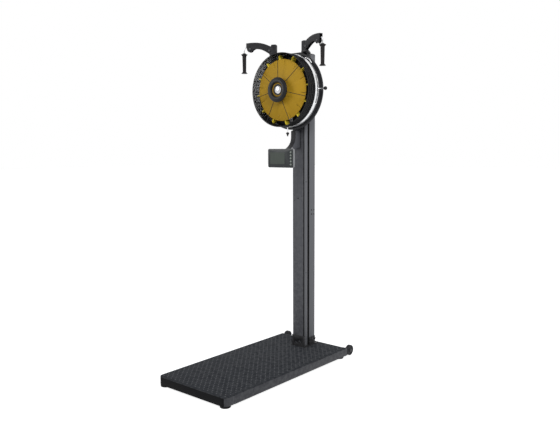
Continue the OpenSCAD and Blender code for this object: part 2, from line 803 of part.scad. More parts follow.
module root_pulley(side) {
  color("black") on_arm(side) translate([root_s, 0, root_z]) pulley(arm_boss);
}

module beam_pulley(i) {
  color("black") translate([beam_pulley_x[i], spool_y[i], beam_pulley_z]) pulley(0.5);
}

// Bent tube that leads the cord out of the arm's mouth and down
module guide_horn(side) {
  lead = horn_s - horn_lead;
  color("silver") on_arm(side) {
    translate([horn_s, 0, horn_out_z]) rotate([90, 0, 0]) rotate_extrude(angle = 90)
      translate([horn_bend_r, 0]) circle(r = horn_r, $fn = 32);
    translate([lead, 0, tip_top_z]) rotate([0, 90, 0]) cylinder(r = horn_r, h = horn_lead);
    translate([lead + 2, -(arm_t - 2 * arm_wall) / 2, tip_top_z - 1.5])
      cube([8, arm_t - 2 * arm_wall, 3]);
  }
}

// Quarter or longer bend of the cord about the Y axis through the origin
module cord_bend(r, a0, a1) {
  rotate([90, 0, 0]) rotate([0, 0, a0]) rotate_extrude(angle = a1 - a0)
    translate([r, 0]) circle(r = cord_r, $fn = 16);
}

// Straight stretch of cord between two points of one plane
module cord_line(p, q) {
  d = q - p;
  translate([p[0], 0, p[1]]) rotate([0, atan2(d[0], d[1]), 0]) cylinder(r = cord_r, h = norm(d), $fn = 16);
}

// Cord from the guide over the arm's pulleys, and from the beam down round its spool
module cord_run(side, i) {
  slope = atan2(tip_z - root_z, tip_s - root_s);
  rise = pulley_path_r * [-sin(slope), cos(slope)];
  joint = cord_joint * [cos(slope), sin(slope)];
  color("darkslategray") {
    on_arm(side) {
      cord_line([tip_s, tip_top_z], [horn_s - horn_lead, tip_top_z]);
      translate([tip_s, 0, tip_z]) cord_bend(pulley_path_r, 90, 90 + slope);
      cord_line([root_s, root_z] + rise + joint, [tip_s, tip_z] + rise - joint);
      translate([root_s, 0, root_z]) cord_bend(pulley_path_r, 90 + slope, 180);
      cord_line([root_s - pulley_path_r, beam_top - 4], [root_s - pulley_path_r, root_z]);
    }
    translate([0, spool_y[i], 0]) {
      from_x = side * (beam_box_x - beam_wall);
      cord_line([from_x, beam_cord_z], [beam_pulley_x[i], beam_cord_z]);
      translate([beam_pulley_x[i], 0, beam_pulley_z])
        if (side < 0) cord_bend(pulley_path_r, 0, 90);
        else cord_bend(pulley_path_r, 90, 180);
      cord_line([spool_path_r, fan_z], [spool_path_r, beam_pulley_z]);
      translate([0, 0, fan_z]) cord_bend(spool_path_r, -170, 0);
    }
  }
}

// Cord between the guide's mouth and the handle
module cord_drop(side) {
  color("darkslategray") on_arm(side) translate([horn_out_s, 0, handle_top - socket_d])
    cylinder(r = cord_r, h = horn_out_z - handle_top + socket_d, $fn = 16);
}

// Tapered grip
module handle_grip(side) {
  color("black") on_arm(side) translate([horn_out_s, 0, grip_top - grip_l])
    cylinder(r1 = grip_bottom_r, r2 = grip_top_r, h = grip_l);
}

// Top cap with its cord socket, and the disc at the bottom
module handle_ends(side) {
  color("darkslategray") on_arm(side) translate([horn_out_s, 0, 0]) {
    difference() {
      union() {
        translate([0, 0, grip_top]) cylinder(r = handle_disc_r, h = disc_h);
        translate([0, 0, grip_top + disc_h]) cylinder(r1 = grip_top_r, r2 = neck_r + 2, h = handle_top - grip_top - disc_h);
      }
      translate([0, 0, handle_top - socket_d]) cylinder(r = cord_r, h = socket_d + 1);
    }
    translate([0, 0, grip_top - grip_l - disc_h]) cylinder(r1 = handle_disc_r - 2, r2 = handle_disc_r, h = disc_h);
  }
}

module spool(i) {
  w = spool_w / 2;
  bore = sleeve_r + run_fit;
  color("silver") translate([0, spool_y[i], fan_z]) rotate([-90, 0, 0]) rotate_extrude() polygon([
    [bore, -w], [spool_flange_r, -w], [spool_flange_r, -w + 3], [spool_barrel_r, -w + 3],
    [spool_barrel_r, w - 3], [spool_flange_r, w - 3], [spool_flange_r, w], [bore, w]
  ]);
}

// Flat beam over the cage with a box behind it for the beam pulleys
module crossbeam() {
  root = [arm_root_x + 38, arm_root_y - 13];
  right = [
    [root[0] + 5, root[1] - 14], [arm_root_x - 5, arm_root_y - 12], [arm_root_x - 1, arm_root_y + 4],
    [60, beam_box_y]
  ];
  left = [for (i = [3:-1:0]) [-right[i][0], right[i][1]]];
  rear = [
    [-root[0] - 10, root[1] + 12], [-beam_box_x, column_front_y], [beam_box_x, column_front_y],
    [root[0] + 10, root[1] + 12]
  ];
  color("dimgray") {
    difference() {
      translate([0, 0, beam_z]) linear_extrude(beam_t) polygon(concat(right, left, rear));
      for (side = [-1, 1]) on_arm(side)
        translate([root_s - pulley_path_r, 0, beam_top - 5]) cylinder(r = cord_r + 1, h = 6);
    }
    difference() {
      translate([-beam_box_x, beam_box_y, beam_box_z])
        cube([2 * beam_box_x, column_front_y - beam_box_y, beam_z - beam_box_z + eps]);
      translate([-beam_box_x + beam_wall, beam_box_y + beam_wall, beam_box_z - 1])
        cube([2 * (beam_box_x - beam_wall), column_front_y - beam_box_y - 2 * beam_wall, beam_z - beam_box_z + 1]);
    }
    for (i = [0, 1]) translate([beam_pulley_x[i], 0, beam_pulley_z])
      y_rod(pulley_bolt_r, beam_box_y + 1, column_front_y - 1);
  }
}

// Curved arm from the column to the console, with two ears for the tilt pin
module console_bracket() {
  foot_y = column_front_y - bracket_foot_t;
  arm_front_y = foot_y - bracket_depth;
  web = bezier([
    [foot_y, bracket_z + 4], [foot_y - 50, bracket_z], [tilt_y + 70, tilt_z + 2], [tilt_y + 12, tilt_z - 4]
  ], 8);
  bend = bezier([
    [tilt_y - 8, tilt_z + 8], [tilt_y + 36, tilt_z + 8], [arm_front_y - 2, tilt_z + 40], [arm_front_y, tilt_z + 95]
  ], 8);
  top = [[arm_front_y, bracket_top - bracket_round], [arm_front_y + bracket_round, bracket_top], [foot_y, bracket_top]];
  color("black") difference() {
    union() {
      translate([-arm_half_w - 8, foot_y, bracket_z]) cube([2 * arm_half_w + 16, bracket_foot_t, bracket_h]);
      translate([-arm_half_w, 0, 0]) rotate([90, 0, 90]) linear_extrude(2 * arm_half_w)
        polygon(concat(web, [[tilt_y + 8, tilt_z - 8], [tilt_y - 8, tilt_z - 8]], bend, top));
    }
    translate([0, tilt_y, tilt_z]) x_rod(tilt_pin_r, 2 * arm_half_w + 2);
  }
}

// Plan of the console's face, as [x, z] about its middle
module console_plan(inset) {
  w = console_w / 2 - inset;
  h = console_h / 2 - inset;
  r = console_corner_r - inset;
  translate([-w + r, -h]) square([2 * (w - r), 2 * h]);
  translate([-w, -h + r]) square([2 * w, 2 * (h - r)]);
  for (x = [-w + r, w - r], z = [-h + r, h - r]) translate([x, z]) circle(r = r);
}

module console_slab(y0, y1, inset) {
  translate([0, y1, console_z]) rotate([90, 0, 0]) linear_extrude(y1 - y0) console_plan(inset);
}

// Housing with its tilt ears and pin at the back
module console_housing() {
  color("gray") difference() {
    union() {
      console_slab(console_front_y + bezel_t, console_back_y, 0);
      for (x = [arm_half_w + side_gap, -arm_half_w - side_gap - ear_t])
        translate([x, 0, 0]) {
          translate([0, console_back_y - eps, tilt_z - 8]) cube([ear_t, tilt_y - console_back_y, 16]);
          translate([ear_t / 2, tilt_y, tilt_z]) x_rod(8, ear_t);
        }
      translate([0, tilt_y, tilt_z]) x_rod(tilt_pin_r - run_fit, 2 * (arm_half_w + side_gap + eps));
    }
    for (i = [0:4]) translate([button_x, 0, button_z(i)]) y_rod(button_r + side_gap, console_front_y, console_front_y + 8);
  }
}

function button_z(i) = console_z + (2 - i) * button_pitch;

// Dark face plate with the screen's window raised in it
module console_screen() {
  color("darkslategray") difference() {
    union() {
      console_slab(console_front_y, console_front_y + bezel_t, 0.5);
      translate([screen_x - screen_w / 2, console_front_y - 0.8, console_z - screen_h / 2])
        cube([screen_w, 0.8 + eps, screen_h]);
    }
    for (i = [0:4]) translate([button_x, 0, button_z(i)])
      y_rod(button_r + side_gap, console_front_y - 1, console_front_y + bezel_t + 1);
  }
}

// Round button with a stem that slides into the housing
module button(i) {
  color("white") translate([button_x, 0, button_z(i)]) {
    y_rod(button_r, console_front_y - button_h, console_front_y + bezel_t + 3);
  }
}

deck_plate();
side_rail(-1);  // side_rail_left
side_rail(1);  // side_rail_right
front_rail();
crossbars();
feet(foot_front_y, foot_h);  // feet_front
feet(foot_rear_y, foot_h);  // feet_rear
wheel(-1);  // wheel_left
wheel(1);  // wheel_right
column_foot();
column();
column_cover();
column_cap();
frame_bolts();
drive_bracket();
rear_shell();
shell_flange();
rim_band();
wire_guard();
wire_rings();
guard_screen();
hub_ring();
thumb_knob();
fan_axle();
fan_disc();
fan_blades();
fan_hub();
hub_cap();
damper_ring();
damper_knob();
crossbeam();
arm(-1);  // arm_left
arm(1);  // arm_right
root_block(-1);  // root_block_left
root_block(1);  // root_block_right
arm_bolts(-1);  // arm_bolts_left
arm_bolts(1);  // arm_bolts_right
tip_pulley(-1);  // tip_pulley_left
tip_pulley(1);  // tip_pulley_right
root_pulley(-1);  // root_pulley_left
root_pulley(1);  // root_pulley_right
beam_pulley(0);  // beam_pulley_left
beam_pulley(1);  // beam_pulley_right
guide_horn(-1);  // guide_horn_left
guide_horn(1);  // guide_horn_right
cord_run(-1, 0);  // cord_run_left
cord_run(1, 1);  // cord_run_right
cord_drop(-1);  // cord_drop_left
cord_drop(1);  // cord_drop_right
handle_grip(-1);  // handle_grip_left
handle_grip(1);  // handle_grip_right
handle_ends(-1);  // handle_ends_left
handle_ends(1);  // handle_ends_right
spool(0);  // spool_left
spool(1);  // spool_right
console_bracket();
console_housing();
console_screen();
button(0);  // button_1
button(1);  // button_2
button(2);  // button_3
button(3);  // button_4
button(4);  // button_5
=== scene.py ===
# %% [markdown]
# # A standing pull trainer with an air fan
# The machine is a flat platform, a tall column and a caged fan at its top. Two arms carry pull handles on
# cords. The cords run over pulleys to two spools behind the cage, and a small console hangs under it. The
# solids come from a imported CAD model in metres. This lesson keeps those whose shape is right, gives the
# others softer edges or finer pieces, and paints everything with materials made of nodes.

# %% Load the fixed frame
import json
import math

import bmesh
import bpy
from mathutils import Matrix, Vector

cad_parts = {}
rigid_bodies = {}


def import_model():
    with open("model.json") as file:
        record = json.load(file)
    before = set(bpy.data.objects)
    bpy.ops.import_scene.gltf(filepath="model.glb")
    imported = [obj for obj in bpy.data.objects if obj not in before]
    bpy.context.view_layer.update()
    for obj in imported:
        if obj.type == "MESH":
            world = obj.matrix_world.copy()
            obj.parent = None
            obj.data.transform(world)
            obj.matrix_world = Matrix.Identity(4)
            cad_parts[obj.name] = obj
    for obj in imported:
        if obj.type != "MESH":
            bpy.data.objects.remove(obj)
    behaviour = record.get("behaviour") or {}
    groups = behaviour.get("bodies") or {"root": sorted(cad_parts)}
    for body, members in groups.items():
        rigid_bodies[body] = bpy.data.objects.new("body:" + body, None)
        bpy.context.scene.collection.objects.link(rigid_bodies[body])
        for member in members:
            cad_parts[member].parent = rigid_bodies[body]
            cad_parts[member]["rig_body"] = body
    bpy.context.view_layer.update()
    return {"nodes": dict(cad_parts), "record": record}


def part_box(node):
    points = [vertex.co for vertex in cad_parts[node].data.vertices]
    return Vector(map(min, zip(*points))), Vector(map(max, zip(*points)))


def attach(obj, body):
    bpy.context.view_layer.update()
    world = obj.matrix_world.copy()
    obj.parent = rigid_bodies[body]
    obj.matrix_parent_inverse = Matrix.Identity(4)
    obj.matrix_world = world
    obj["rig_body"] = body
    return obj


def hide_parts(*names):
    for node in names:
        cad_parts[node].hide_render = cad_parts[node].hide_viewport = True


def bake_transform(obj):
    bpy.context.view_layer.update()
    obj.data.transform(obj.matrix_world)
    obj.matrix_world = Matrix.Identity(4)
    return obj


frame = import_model()
nodes = frame["nodes"]
slot_of = {part["node"]: part["material_slot"] for part in frame["record"]["subparts"]}
body_of = {name: solid["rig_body"] for name, solid in nodes.items()}
fan_z = 1.849

# %% [markdown]
# ## The camera
# The picture is taken from the machine's front right, a little over two metres and a half away on each
# side, at chest height. A camera is turned in three steps: up to the horizon less its pitch, round the
# vertical, and a trace of roll about its own view line.

# %% Camera
def placed(name, data):
    thing = bpy.data.objects.new(name, data)
    bpy.context.scene.collection.objects.link(thing)
    return thing


camera_place = Vector((2.790, -3.122, 1.472))
yaw = math.radians(40.131)
pitch = math.radians(6.614)
roll = math.radians(-0.219)
camera_data = bpy.data.cameras.new("camera")
camera_data.lens = 41.554
camera_data.sensor_width = 36.0
camera = placed("camera", camera_data)
stand = Matrix.Translation(camera_place)
for angle, axis in ((yaw, "Z"), (math.pi / 2 - pitch, "X"), (roll, "Z")):
    stand = stand @ Matrix.Rotation(angle, 4, axis)
camera.matrix_world = stand
bpy.context.scene.camera = camera
bpy.context.scene.view_settings.view_transform = "Standard"
print("camera turned to", [round(math.degrees(angle), 3) for angle in camera.rotation_euler])

# %% [markdown]
# ## Helpers for node trees
# Every material and every Geometry Nodes tree below is built by the same few helpers. One adds a node and
# fills its sockets, either with a plain value or with a link, and the others wrap the nodes used most. The
# kind of a group's input follows from its first value: a number, a colour of four parts or a vector of
# three. A word stands for a kind that has no first value.

# %% Node helpers
def fill(tree, sockets, values):
    for name, value in values.items():
        if isinstance(value, bpy.types.NodeSocket):
            tree.links.new(value, sockets[name])
        else:
            sockets[name].default_value = value


def add(tree, kind, settings=None, sockets=None):
    node = tree.nodes.new(kind)
    for name, value in (settings or {}).items():
        setattr(node, name, value)
    fill(tree, node.inputs, sockets or {})
    return node


def maths(tree, operation, first, second=0.0):
    return add(tree, "ShaderNodeMath", {"operation": operation}, {0: first, 1: second}).outputs[0]


def noise(tree, place, scale, detail, roughness):
    sockets = {"Vector": place, "Scale": scale, "Detail": detail, "Roughness": roughness}
    return add(tree, "ShaderNodeTexNoise", None, sockets).outputs["Fac"]


def spread(tree, value, low, high, to_low=0.0, to_high=1.0):
    sockets = {"Value": value, "From Min": low, "From Max": high, "To Min": to_low, "To Max": to_high}
    return add(tree, "ShaderNodeMapRange", None, sockets).outputs["Result"]


def blend_colour(tree, factor, first, second):
    return add(tree, "ShaderNodeMix", {"data_type": "RGBA"}, {0: factor, 6: first, 7: second}).outputs[2]


def object_place(tree):
    return add(tree, "ShaderNodeTexCoord").outputs["Object"]


def socket_kind(value):
    if isinstance(value, str):
        return value
    if isinstance(value, tuple):
        return "Color" if len(value) == 4 else "Vector"
    return "Int" if isinstance(value, int) else "Float"


def new_group(name, kind, inputs, outputs):
    tree = bpy.data.node_groups.new(name, kind)
    for in_out, labels in (("INPUT", inputs), ("OUTPUT", outputs)):
        for label, value in labels.items():
            socket_type = "NodeSocket" + socket_kind(value)
            socket = tree.interface.new_socket(label, in_out=in_out, socket_type=socket_type)
            if not isinstance(value, str):
                socket.default_value = value
    return tree, tree.nodes.new("NodeGroupInput").outputs, tree.nodes.new("NodeGroupOutput").inputs


print("node helpers ready")

# %% [markdown]
# ## Shared effects: powder coat, wear, brushed grain
# Real paint is never one colour. Powder coat has a fine orange peel and a slow drift of shade, handled
# metal is lighter on its edges, and drawn metal has long streaks. Each effect is one node group with named
# inputs, so that many finishes can share it with values of their own. The two looks have their inputs in
# the same order: colour, size of the grain, contrast, and the least and the most roughness.

# %% Effect: powder coat
look_outputs = {"Colour": "Color", "Roughness": "Float", "Height": "Float"}
plain_grey = (0.1, 0.1, 0.1, 1)


def drifted(tree, colour, pattern, amount):
    """Lightens and darkens a colour as a pattern swings round its middle value."""
    swing = maths(tree, "MULTIPLY", maths(tree, "SUBTRACT", pattern, 0.5), amount)
    shade = maths(tree, "ADD", maths(tree, "MULTIPLY", swing, 2.0), 1.0)
    return add(tree, "ShaderNodeVectorMath", {"operation": "SCALE"}, {0: colour, "Scale": shade}).outputs[0]


coat_tree, coat_in, coat_out = new_group(
    "powder_coat", "ShaderNodeTree",
    {"Colour": plain_grey, "Grain Scale": 700.0, "Drift": 0.18, "Gloss Low": 0.42, "Gloss High": 0.6},
    look_outputs)
place = object_place(coat_tree)
peel = noise(coat_tree, place, coat_in["Grain Scale"], 3.0, 0.6)
cloud = noise(coat_tree, place, 5.5, 4.0, 0.55)
speckle = maths(coat_tree, "MULTIPLY", maths(coat_tree, "ADD", peel, cloud), 0.5)
fill(coat_tree, coat_out, {
    "Colour": drifted(coat_tree, coat_in["Colour"], cloud, coat_in["Drift"]),
    "Roughness": spread(coat_tree, speckle, 0.3, 0.7, coat_in["Gloss Low"], coat_in["Gloss High"]),
    "Height": peel})
print("effect built: powder_coat")

# %% Effect: worn edges and settled dust
dust_colour = (0.42, 0.41, 0.39, 1)
wear_tree, wear_in, wear_out = new_group(
    "worn_edges", "ShaderNodeTree",
    {"Colour": plain_grey, "Worn Colour": (0.3, 0.3, 0.3, 1), "Amount": 0.4, "Dust": 0.08},
    {"Colour": "Color"})
surface = add(wear_tree, "ShaderNodeNewGeometry")
rub = noise(wear_tree, object_place(wear_tree), 42.0, 4.0, 0.65)
edge = spread(wear_tree, surface.outputs["Pointiness"], 0.515, 0.575)
edge = maths(wear_tree, "MULTIPLY", edge, spread(wear_tree, rub, 0.38, 0.62))
edge = maths(wear_tree, "MULTIPLY", edge, wear_in["Amount"])
up = add(wear_tree, "ShaderNodeSeparateXYZ", None, {0: surface.outputs["Normal"]}).outputs["Z"]
film = maths(wear_tree, "MULTIPLY", spread(wear_tree, up, 0.35, 1.0), spread(wear_tree, rub, 0.3, 0.8))
film = maths(wear_tree, "MULTIPLY", film, wear_in["Dust"])
dusty = blend_colour(wear_tree, film, wear_in["Colour"], dust_colour)
fill(wear_tree, wear_out, {"Colour": blend_colour(wear_tree, edge, dusty, wear_in["Worn Colour"])})
print("effect built: worn_edges")

# %% Effect: drawn or brushed grain
grain_tree, grain_in, grain_out = new_group(
    "drawn_grain", "ShaderNodeTree",
    {"Colour": plain_grey, "Stretch": (400.0, 400.0, 3.0), "Contrast": 0.16, "Gloss Low": 0.28,
     "Gloss High": 0.42}, look_outputs)
stretched = add(grain_tree, "ShaderNodeVectorMath", {"operation": "MULTIPLY"},
                {0: object_place(grain_tree), 1: grain_in["Stretch"]})
streaks = noise(grain_tree, stretched.outputs[0], 1.0, 3.0, 0.6)
fill(grain_tree, grain_out, {
    "Colour": drifted(grain_tree, grain_in["Colour"], streaks, grain_in["Contrast"]),
    "Roughness": spread(grain_tree, streaks, 0.3, 0.7, grain_in["Gloss Low"], grain_in["Gloss High"]),
    "Height": streaks})
print("effect built: drawn_grain")

# %% [markdown]
# ## Finishes
# A finish is a Principled shader with one of the effects in front of it. The shader itself stays in the
# material, because only colours, masks and heights travel through the groups. Values that are the same all
# over a surface are typed straight into the shader's sockets. Each row of the tables below is one finish:
# its name, effect, colour, grain, contrast, least and most roughness, relief and the relief's depth in
# metres. Wear, and values for the shader itself, follow where a finish has them.

# %% Finish helper
materials = {}


def new_material(name):
    material = bpy.data.materials.new(name)
    material.use_nodes = True
    materials[name] = material
    return material.node_tree, material.node_tree.nodes["Principled BSDF"]


def add_relief(tree, shader, height, strength, depth):
    relief = add(tree, "ShaderNodeBump", None, {"Strength": strength, "Distance": depth, "Height": height})
    fill(tree, shader.inputs, {"Normal": relief.outputs["Normal"]})


def finish(name, effect, colour, grain, contrast, gloss, relief, depth, wear=None, shader_values=None):
    """Builds a material from one effect group, with edge wear on top where it is asked for."""
    tree, shader = new_material(name)
    look = add(tree, "ShaderNodeGroup", {"node_tree": effect},
               {0: (*colour, 1), 1: grain, 2: contrast, 3: gloss[0], 4: gloss[1]})
    shown = look.outputs["Colour"]
    if wear:
        worn_colour, amount, dust = wear
        shown = add(tree, "ShaderNodeGroup", {"node_tree": wear_tree},
                    {0: shown, 1: (*worn_colour, 1), 2: amount, 3: dust}).outputs["Colour"]
    fill(tree, shader.inputs, {"Base Color": shown, "Roughness": look.outputs["Roughness"],
                               "Specular IOR Level": 0.2, **(shader_values or {})})
    if relief:
        add_relief(tree, shader, look.outputs["Height"], relief, depth)


print("finish helper ready")

# %% [markdown]
# ### Paint on the platform, the column, the castings and the shell
# The platform is a slate grey textured coat and the castings on top are nearly black. The column is an
# extrusion with a satin grey skin, so it gets long vertical streaks in place of a speckle.

# %% Painted finishes
pale_wear = ((0.16, 0.165, 0.17), 0.45, 0.01)
cast_wear = ((0.12, 0.12, 0.125), 0.5, 0.05)
column_wear = ((0.2, 0.2, 0.21), 0.5, 0.0)
drawn_up = (260.0, 260.0, 2.5)
for row in (
        ("deck", coat_tree, (0.031, 0.033, 0.038), 420.0, 0.2, (0.6, 0.8), 0.5, 0.0004, pale_wear,
         {"Specular IOR Level": 0.015}),
        # The tread's light grey is a painted highlight, for the light on the tops of the raised dots.
        ("tread", coat_tree, (0.14, 0.144, 0.152), 420.0, 0.18, (0.5, 0.7), 0.3, 0.0002),
        ("frame_dark", coat_tree, (0.056, 0.057, 0.064), 700.0, 0.12, (0.42, 0.6), 0.25, 0.0002, pale_wear),
        # The front rail's forward faces take frame_black as a painted shade.
        ("frame_black", coat_tree, (0.008, 0.008, 0.009), 700.0, 0.12, (0.6, 0.75), 0.25, 0.0002, None,
         {"Specular IOR Level": 0.08}),
        ("cast_dark", coat_tree, (0.0125, 0.0125, 0.014), 520.0, 0.2, (0.4, 0.58), 0.35, 0.0003, cast_wear),
        ("shell", coat_tree, (0.03, 0.03, 0.033), 700.0, 0.16, (0.34, 0.5), 0.2, 0.0002, pale_wear),
        ("wire", coat_tree, (0.01, 0.01, 0.011), 700.0, 0.1, (0.3, 0.45), 0.15, 0.0001),
        ("column", grain_tree, (0.088, 0.09, 0.1), drawn_up, 0.12, (0.4, 0.55), 0.12, 0.0001, column_wear),
        ("column_side", grain_tree, (0.2, 0.203, 0.216), drawn_up, 0.1, (0.4, 0.55), 0.12, 0.0001)):
    finish(*row)
print("painted finishes:", sorted(materials))

# %% [markdown]
# ### Bare and plated metal
# The band round the cage is bright, close to white. The bolts are zinc plated, and the hub's cap and the
# cord guides are polished. Metal takes its look from what it reflects, so the roughness varies only a
# little.

# %% Metal finishes
drawn_round = (3.0, 500.0, 3.0)
fine_grain = (220.0, 220.0, 220.0)
polish = (90.0, 90.0, 90.0)
metal = {"Metallic": 1.0}
for row in (
        ("band", grain_tree, (0.95, 0.955, 0.96), drawn_round, 0.03, (0.3, 0.4), 0.05, 0.0001, None,
         {"Metallic": 0.75, "Specular IOR Level": 0.5}),
        ("bolt", grain_tree, (0.42, 0.42, 0.43), fine_grain, 0.12, (0.28, 0.42), 0.1, 0.0001, None, metal),
        ("bolt_dark", grain_tree, (0.09, 0.09, 0.095), fine_grain, 0.12, (0.28, 0.42), 0.1, 0.0001),
        ("chrome", grain_tree, (0.78, 0.78, 0.8), polish, 0.04, (0.1, 0.2), 0.03, 0.0001, None, metal),
        ("cap_metal", coat_tree, (0.55, 0.55, 0.56), 150.0, 0.9, (0.12, 0.3), 0.25, 0.0006, None, metal)):
    finish(*row)
print("metal finishes:", len(materials), "so far")

# %% [markdown]
# ### Moulded plastic and rubber
# The fan is moulded in one mustard colour. The paddles get a brighter copy of it, which is painted light on
# their ends. Mould texture is a fine even grain, and handled plastic keeps cloudy patches of gloss, which
# the powder coat's drift also gives at another scale.

# %% Plastic and rubber finishes
for row in (
        ("gold", (0.45, 0.262, 0.014), 300.0, 0.16, (0.5, 0.68), 0.2, 0.0002),
        # gold_bright is a lit copy of the fan's gold: painted light on the paddles' ends.
        ("gold_bright", (0.9, 0.7, 0.05), 300.0, 0.1, (0.42, 0.6), 0.2, 0.0002),
        ("rubber", (0.01, 0.01, 0.01), 260.0, 0.18, (0.7, 0.9), 0.4, 0.0003),
        ("black_plastic", (0.011, 0.011, 0.012), 600.0, 0.18, (0.38, 0.52), 0.25, 0.0002),
        ("pulley", (0.016, 0.016, 0.017), 700.0, 0.18, (0.4, 0.55), 0.1, 0.0002),
        ("grip", (0.016, 0.014, 0.014), 340.0, 0.25, (0.62, 0.85), 0.6, 0.0005),
        ("wheel", (0.02, 0.0205, 0.023), 700.0, 0.18, (0.4, 0.6), 0.2, 0.0002),
        ("console", (0.36, 0.365, 0.37), 800.0, 0.18, (0.42, 0.55), 0.2, 0.0002),
        ("screen", (0.036, 0.04, 0.041), 800.0, 0.18, (0.22, 0.34), 0.05, 0.0001),
        ("display", (0.075, 0.088, 0.075), 900.0, 0.1, (0.2, 0.3), 0.0, 0.0),
        ("button", (0.3, 0.33, 0.3), 500.0, 0.18, (0.5, 0.7), 0.2, 0.0002)):
    finish(row[0], coat_tree, *row[1:])
print("finishes so far:", len(materials))

# %% [markdown]
# ### Braided cord
# The pull cord is a tight braid of dark yarn. Each cord carries its own UV map, with the distance round it
# in U and along it in V, so two crossing waves on those make the braid turn with the cord wherever it
# bends.

# %% Braid finish
def braid_finish():
    tree, shader = new_material("cord")
    along = add(tree, "ShaderNodeUVMap", {"uv_map": "cord_map"})
    heights = []
    for lean in (1, -1):
        turned_map = add(tree, "ShaderNodeMapping", {"vector_type": "POINT"},
                         {"Vector": along.outputs[0], "Rotation": (0.0, 0.0, lean * math.radians(38))})
        wave = add(tree, "ShaderNodeTexWave", {"wave_type": "BANDS", "bands_direction": "X"},
                   {"Vector": turned_map.outputs[0], "Scale": 260.0})
        heights.append(wave.outputs["Fac"])
    yarn = maths(tree, "MAXIMUM", heights[0], heights[1])
    fill(tree, shader.inputs, {
        "Base Color": blend_colour(tree, yarn, (0.006, 0.006, 0.007, 1), (0.045, 0.045, 0.05, 1)),
        "Roughness": spread(tree, yarn, 0.0, 1.0, 0.85, 0.6)})
    add_relief(tree, shader, yarn, 0.6, 0.0003)


braid_finish()
print("braid ready")

# %% [markdown]
# ## Every solid gets its finish
# The record says which material slot each solid belongs to, and the slots share their names with the
# finishes.

# %% Paint the solids
for node_name, solid in nodes.items():
    solid.data.materials.clear()
    solid.data.materials.append(materials[slot_of[node_name]])
print("painted", len(nodes), "solids")

# %% [markdown]
# ## Helpers for shapes
# Most pieces start as the CAD solid itself. Its copy is merged, its flat faces are joined, and a small
# bevel rounds the edges, which is what makes a machined part catch the light. Others are turned about an
# axis, swept along a line or carried up from an outline. Each of those is a row of rings of corners with
# faces between them.

# %% Piece helpers
merge_distance = 0.00001


def smooth_by_angle(mesh, degrees=32.0):
    mesh.shade_smooth()
    mesh.set_sharp_from_angle(angle=math.radians(degrees))


def as_piece(name, mesh, finish_name, body, replaced=()):
    """Puts a finished mesh into the scene as a piece that rides on a body, or on none."""
    piece = placed(name, mesh)
    if not mesh.materials:
        mesh.materials.append(materials[finish_name])
    if body:
        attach(piece, body)
    if replaced:
        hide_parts(*replaced)
    return piece


def settled(holder):
    """The plain mesh of an object with its modifiers applied. The object itself is removed."""
    graph = bpy.context.evaluated_depsgraph_get()
    mesh = bpy.data.meshes.new_from_object(holder.evaluated_get(graph))
    name = holder.name
    bpy.data.objects.remove(holder)
    mesh.name = name
    return mesh


def soft_copy(node_name, width, steps=2):
    """Replaces a CAD solid with a copy that has rounded edges."""
    mesh = nodes[node_name].data.copy()
    shape = bmesh.new()
    shape.from_mesh(mesh)
    bmesh.ops.remove_doubles(shape, verts=shape.verts, dist=merge_distance)
    bmesh.ops.dissolve_limit(shape, angle_limit=math.radians(1.0), verts=shape.verts, edges=shape.edges)
    shape.to_mesh(mesh)
    shape.free()
    holder = placed(node_name + "_soft", mesh)
    bevel = holder.modifiers.new("edges", "BEVEL")
    bevel.width = width
    bevel.segments = steps
    bevel.limit_method = "ANGLE"
    bevel.angle_limit = math.radians(35.0)
    soft = settled(holder)
    smooth_by_angle(soft)
    return as_piece(node_name + "_soft", soft, slot_of[node_name], body_of[node_name], [node_name])


def thickened(name, mesh, thickness, offset, degrees):
    """Gives a sheet its thickness, to both sides for an offset of 0 and inward for -1."""
    holder = placed(name, mesh)
    wall = holder.modifiers.new("wall", "SOLIDIFY")
    wall.thickness = thickness
    wall.offset = offset
    solid = settled(holder)
    smooth_by_angle(solid, degrees)
    return solid


def repaint(piece, finish_name):
    piece.data.materials[0] = materials[finish_name]


def two_tone(piece, finish_name, chosen):
    """Gives another finish to the faces whose direction is chosen."""
    piece.data.materials.append(materials[finish_name])
    for face in piece.data.polygons:
        if chosen(face.normal):
            face.material_index = 1


print("piece helpers ready")

# %% Shape helpers
def round_angles(count):
    return [2 * math.pi * k / count for k in range(count)]


def rectangle(left, right, front, back):
    return [(left, front), (right, front), (right, back), (left, back)]


def skin(shape, rings, around=True, capped=True):
    """Faces between each ring of corners and the next. Around closes each ring on itself, capped its ends."""
    rings = [[shape.verts.new(corner) for corner in ring] for ring in rings]
    faces = []
    for low, high in zip(rings, rings[1:]):
        for k in range(len(low) if around else len(low) - 1):
            n = (k + 1) % len(low)
            faces.append(shape.faces.new((low[k], low[n], high[n], high[k])))
    if capped:
        shape.faces.new(rings[0])
        shape.faces.new(rings[-1])
    return faces


def finished(shape, name, degrees=32.0, outward=True):
    """Turns a bmesh into a mesh. Its faces are made to point outward unless they do already."""
    if outward:
        bmesh.ops.recalc_face_normals(shape, faces=shape.faces)
    mesh = bpy.data.meshes.new(name)
    shape.to_mesh(mesh)
    shape.free()
    smooth_by_angle(mesh, degrees)
    return mesh


def prism(name, outline, low, high):
    """An outline of [x, y] points carried from one height to another."""
    shape = bmesh.new()
    skin(shape, [[(x, y, z) for x, y in outline] for z in (low, high)])
    return finished(shape, name)


def turned(name, outline, place, steps, around, degrees):
    """A body of revolution from [radius, height] points. The place function puts each corner in the room."""
    shape = bmesh.new()
    skin(shape, [[place(r * math.cos(angle), r * math.sin(angle), height) for r, height in outline]
                 for angle in round_angles(steps) + [0.0]], around, False)
    bmesh.ops.remove_doubles(shape, verts=shape.verts, dist=merge_distance)
    return finished(shape, name, degrees)


def turned_on_fan(name, outline):
    """A ring about the fan's axis from a closed outline of [radius, y] points."""
    return turned(name, outline, lambda across, up, y: (across, y, fan_z + up), 128, True, 32.0)


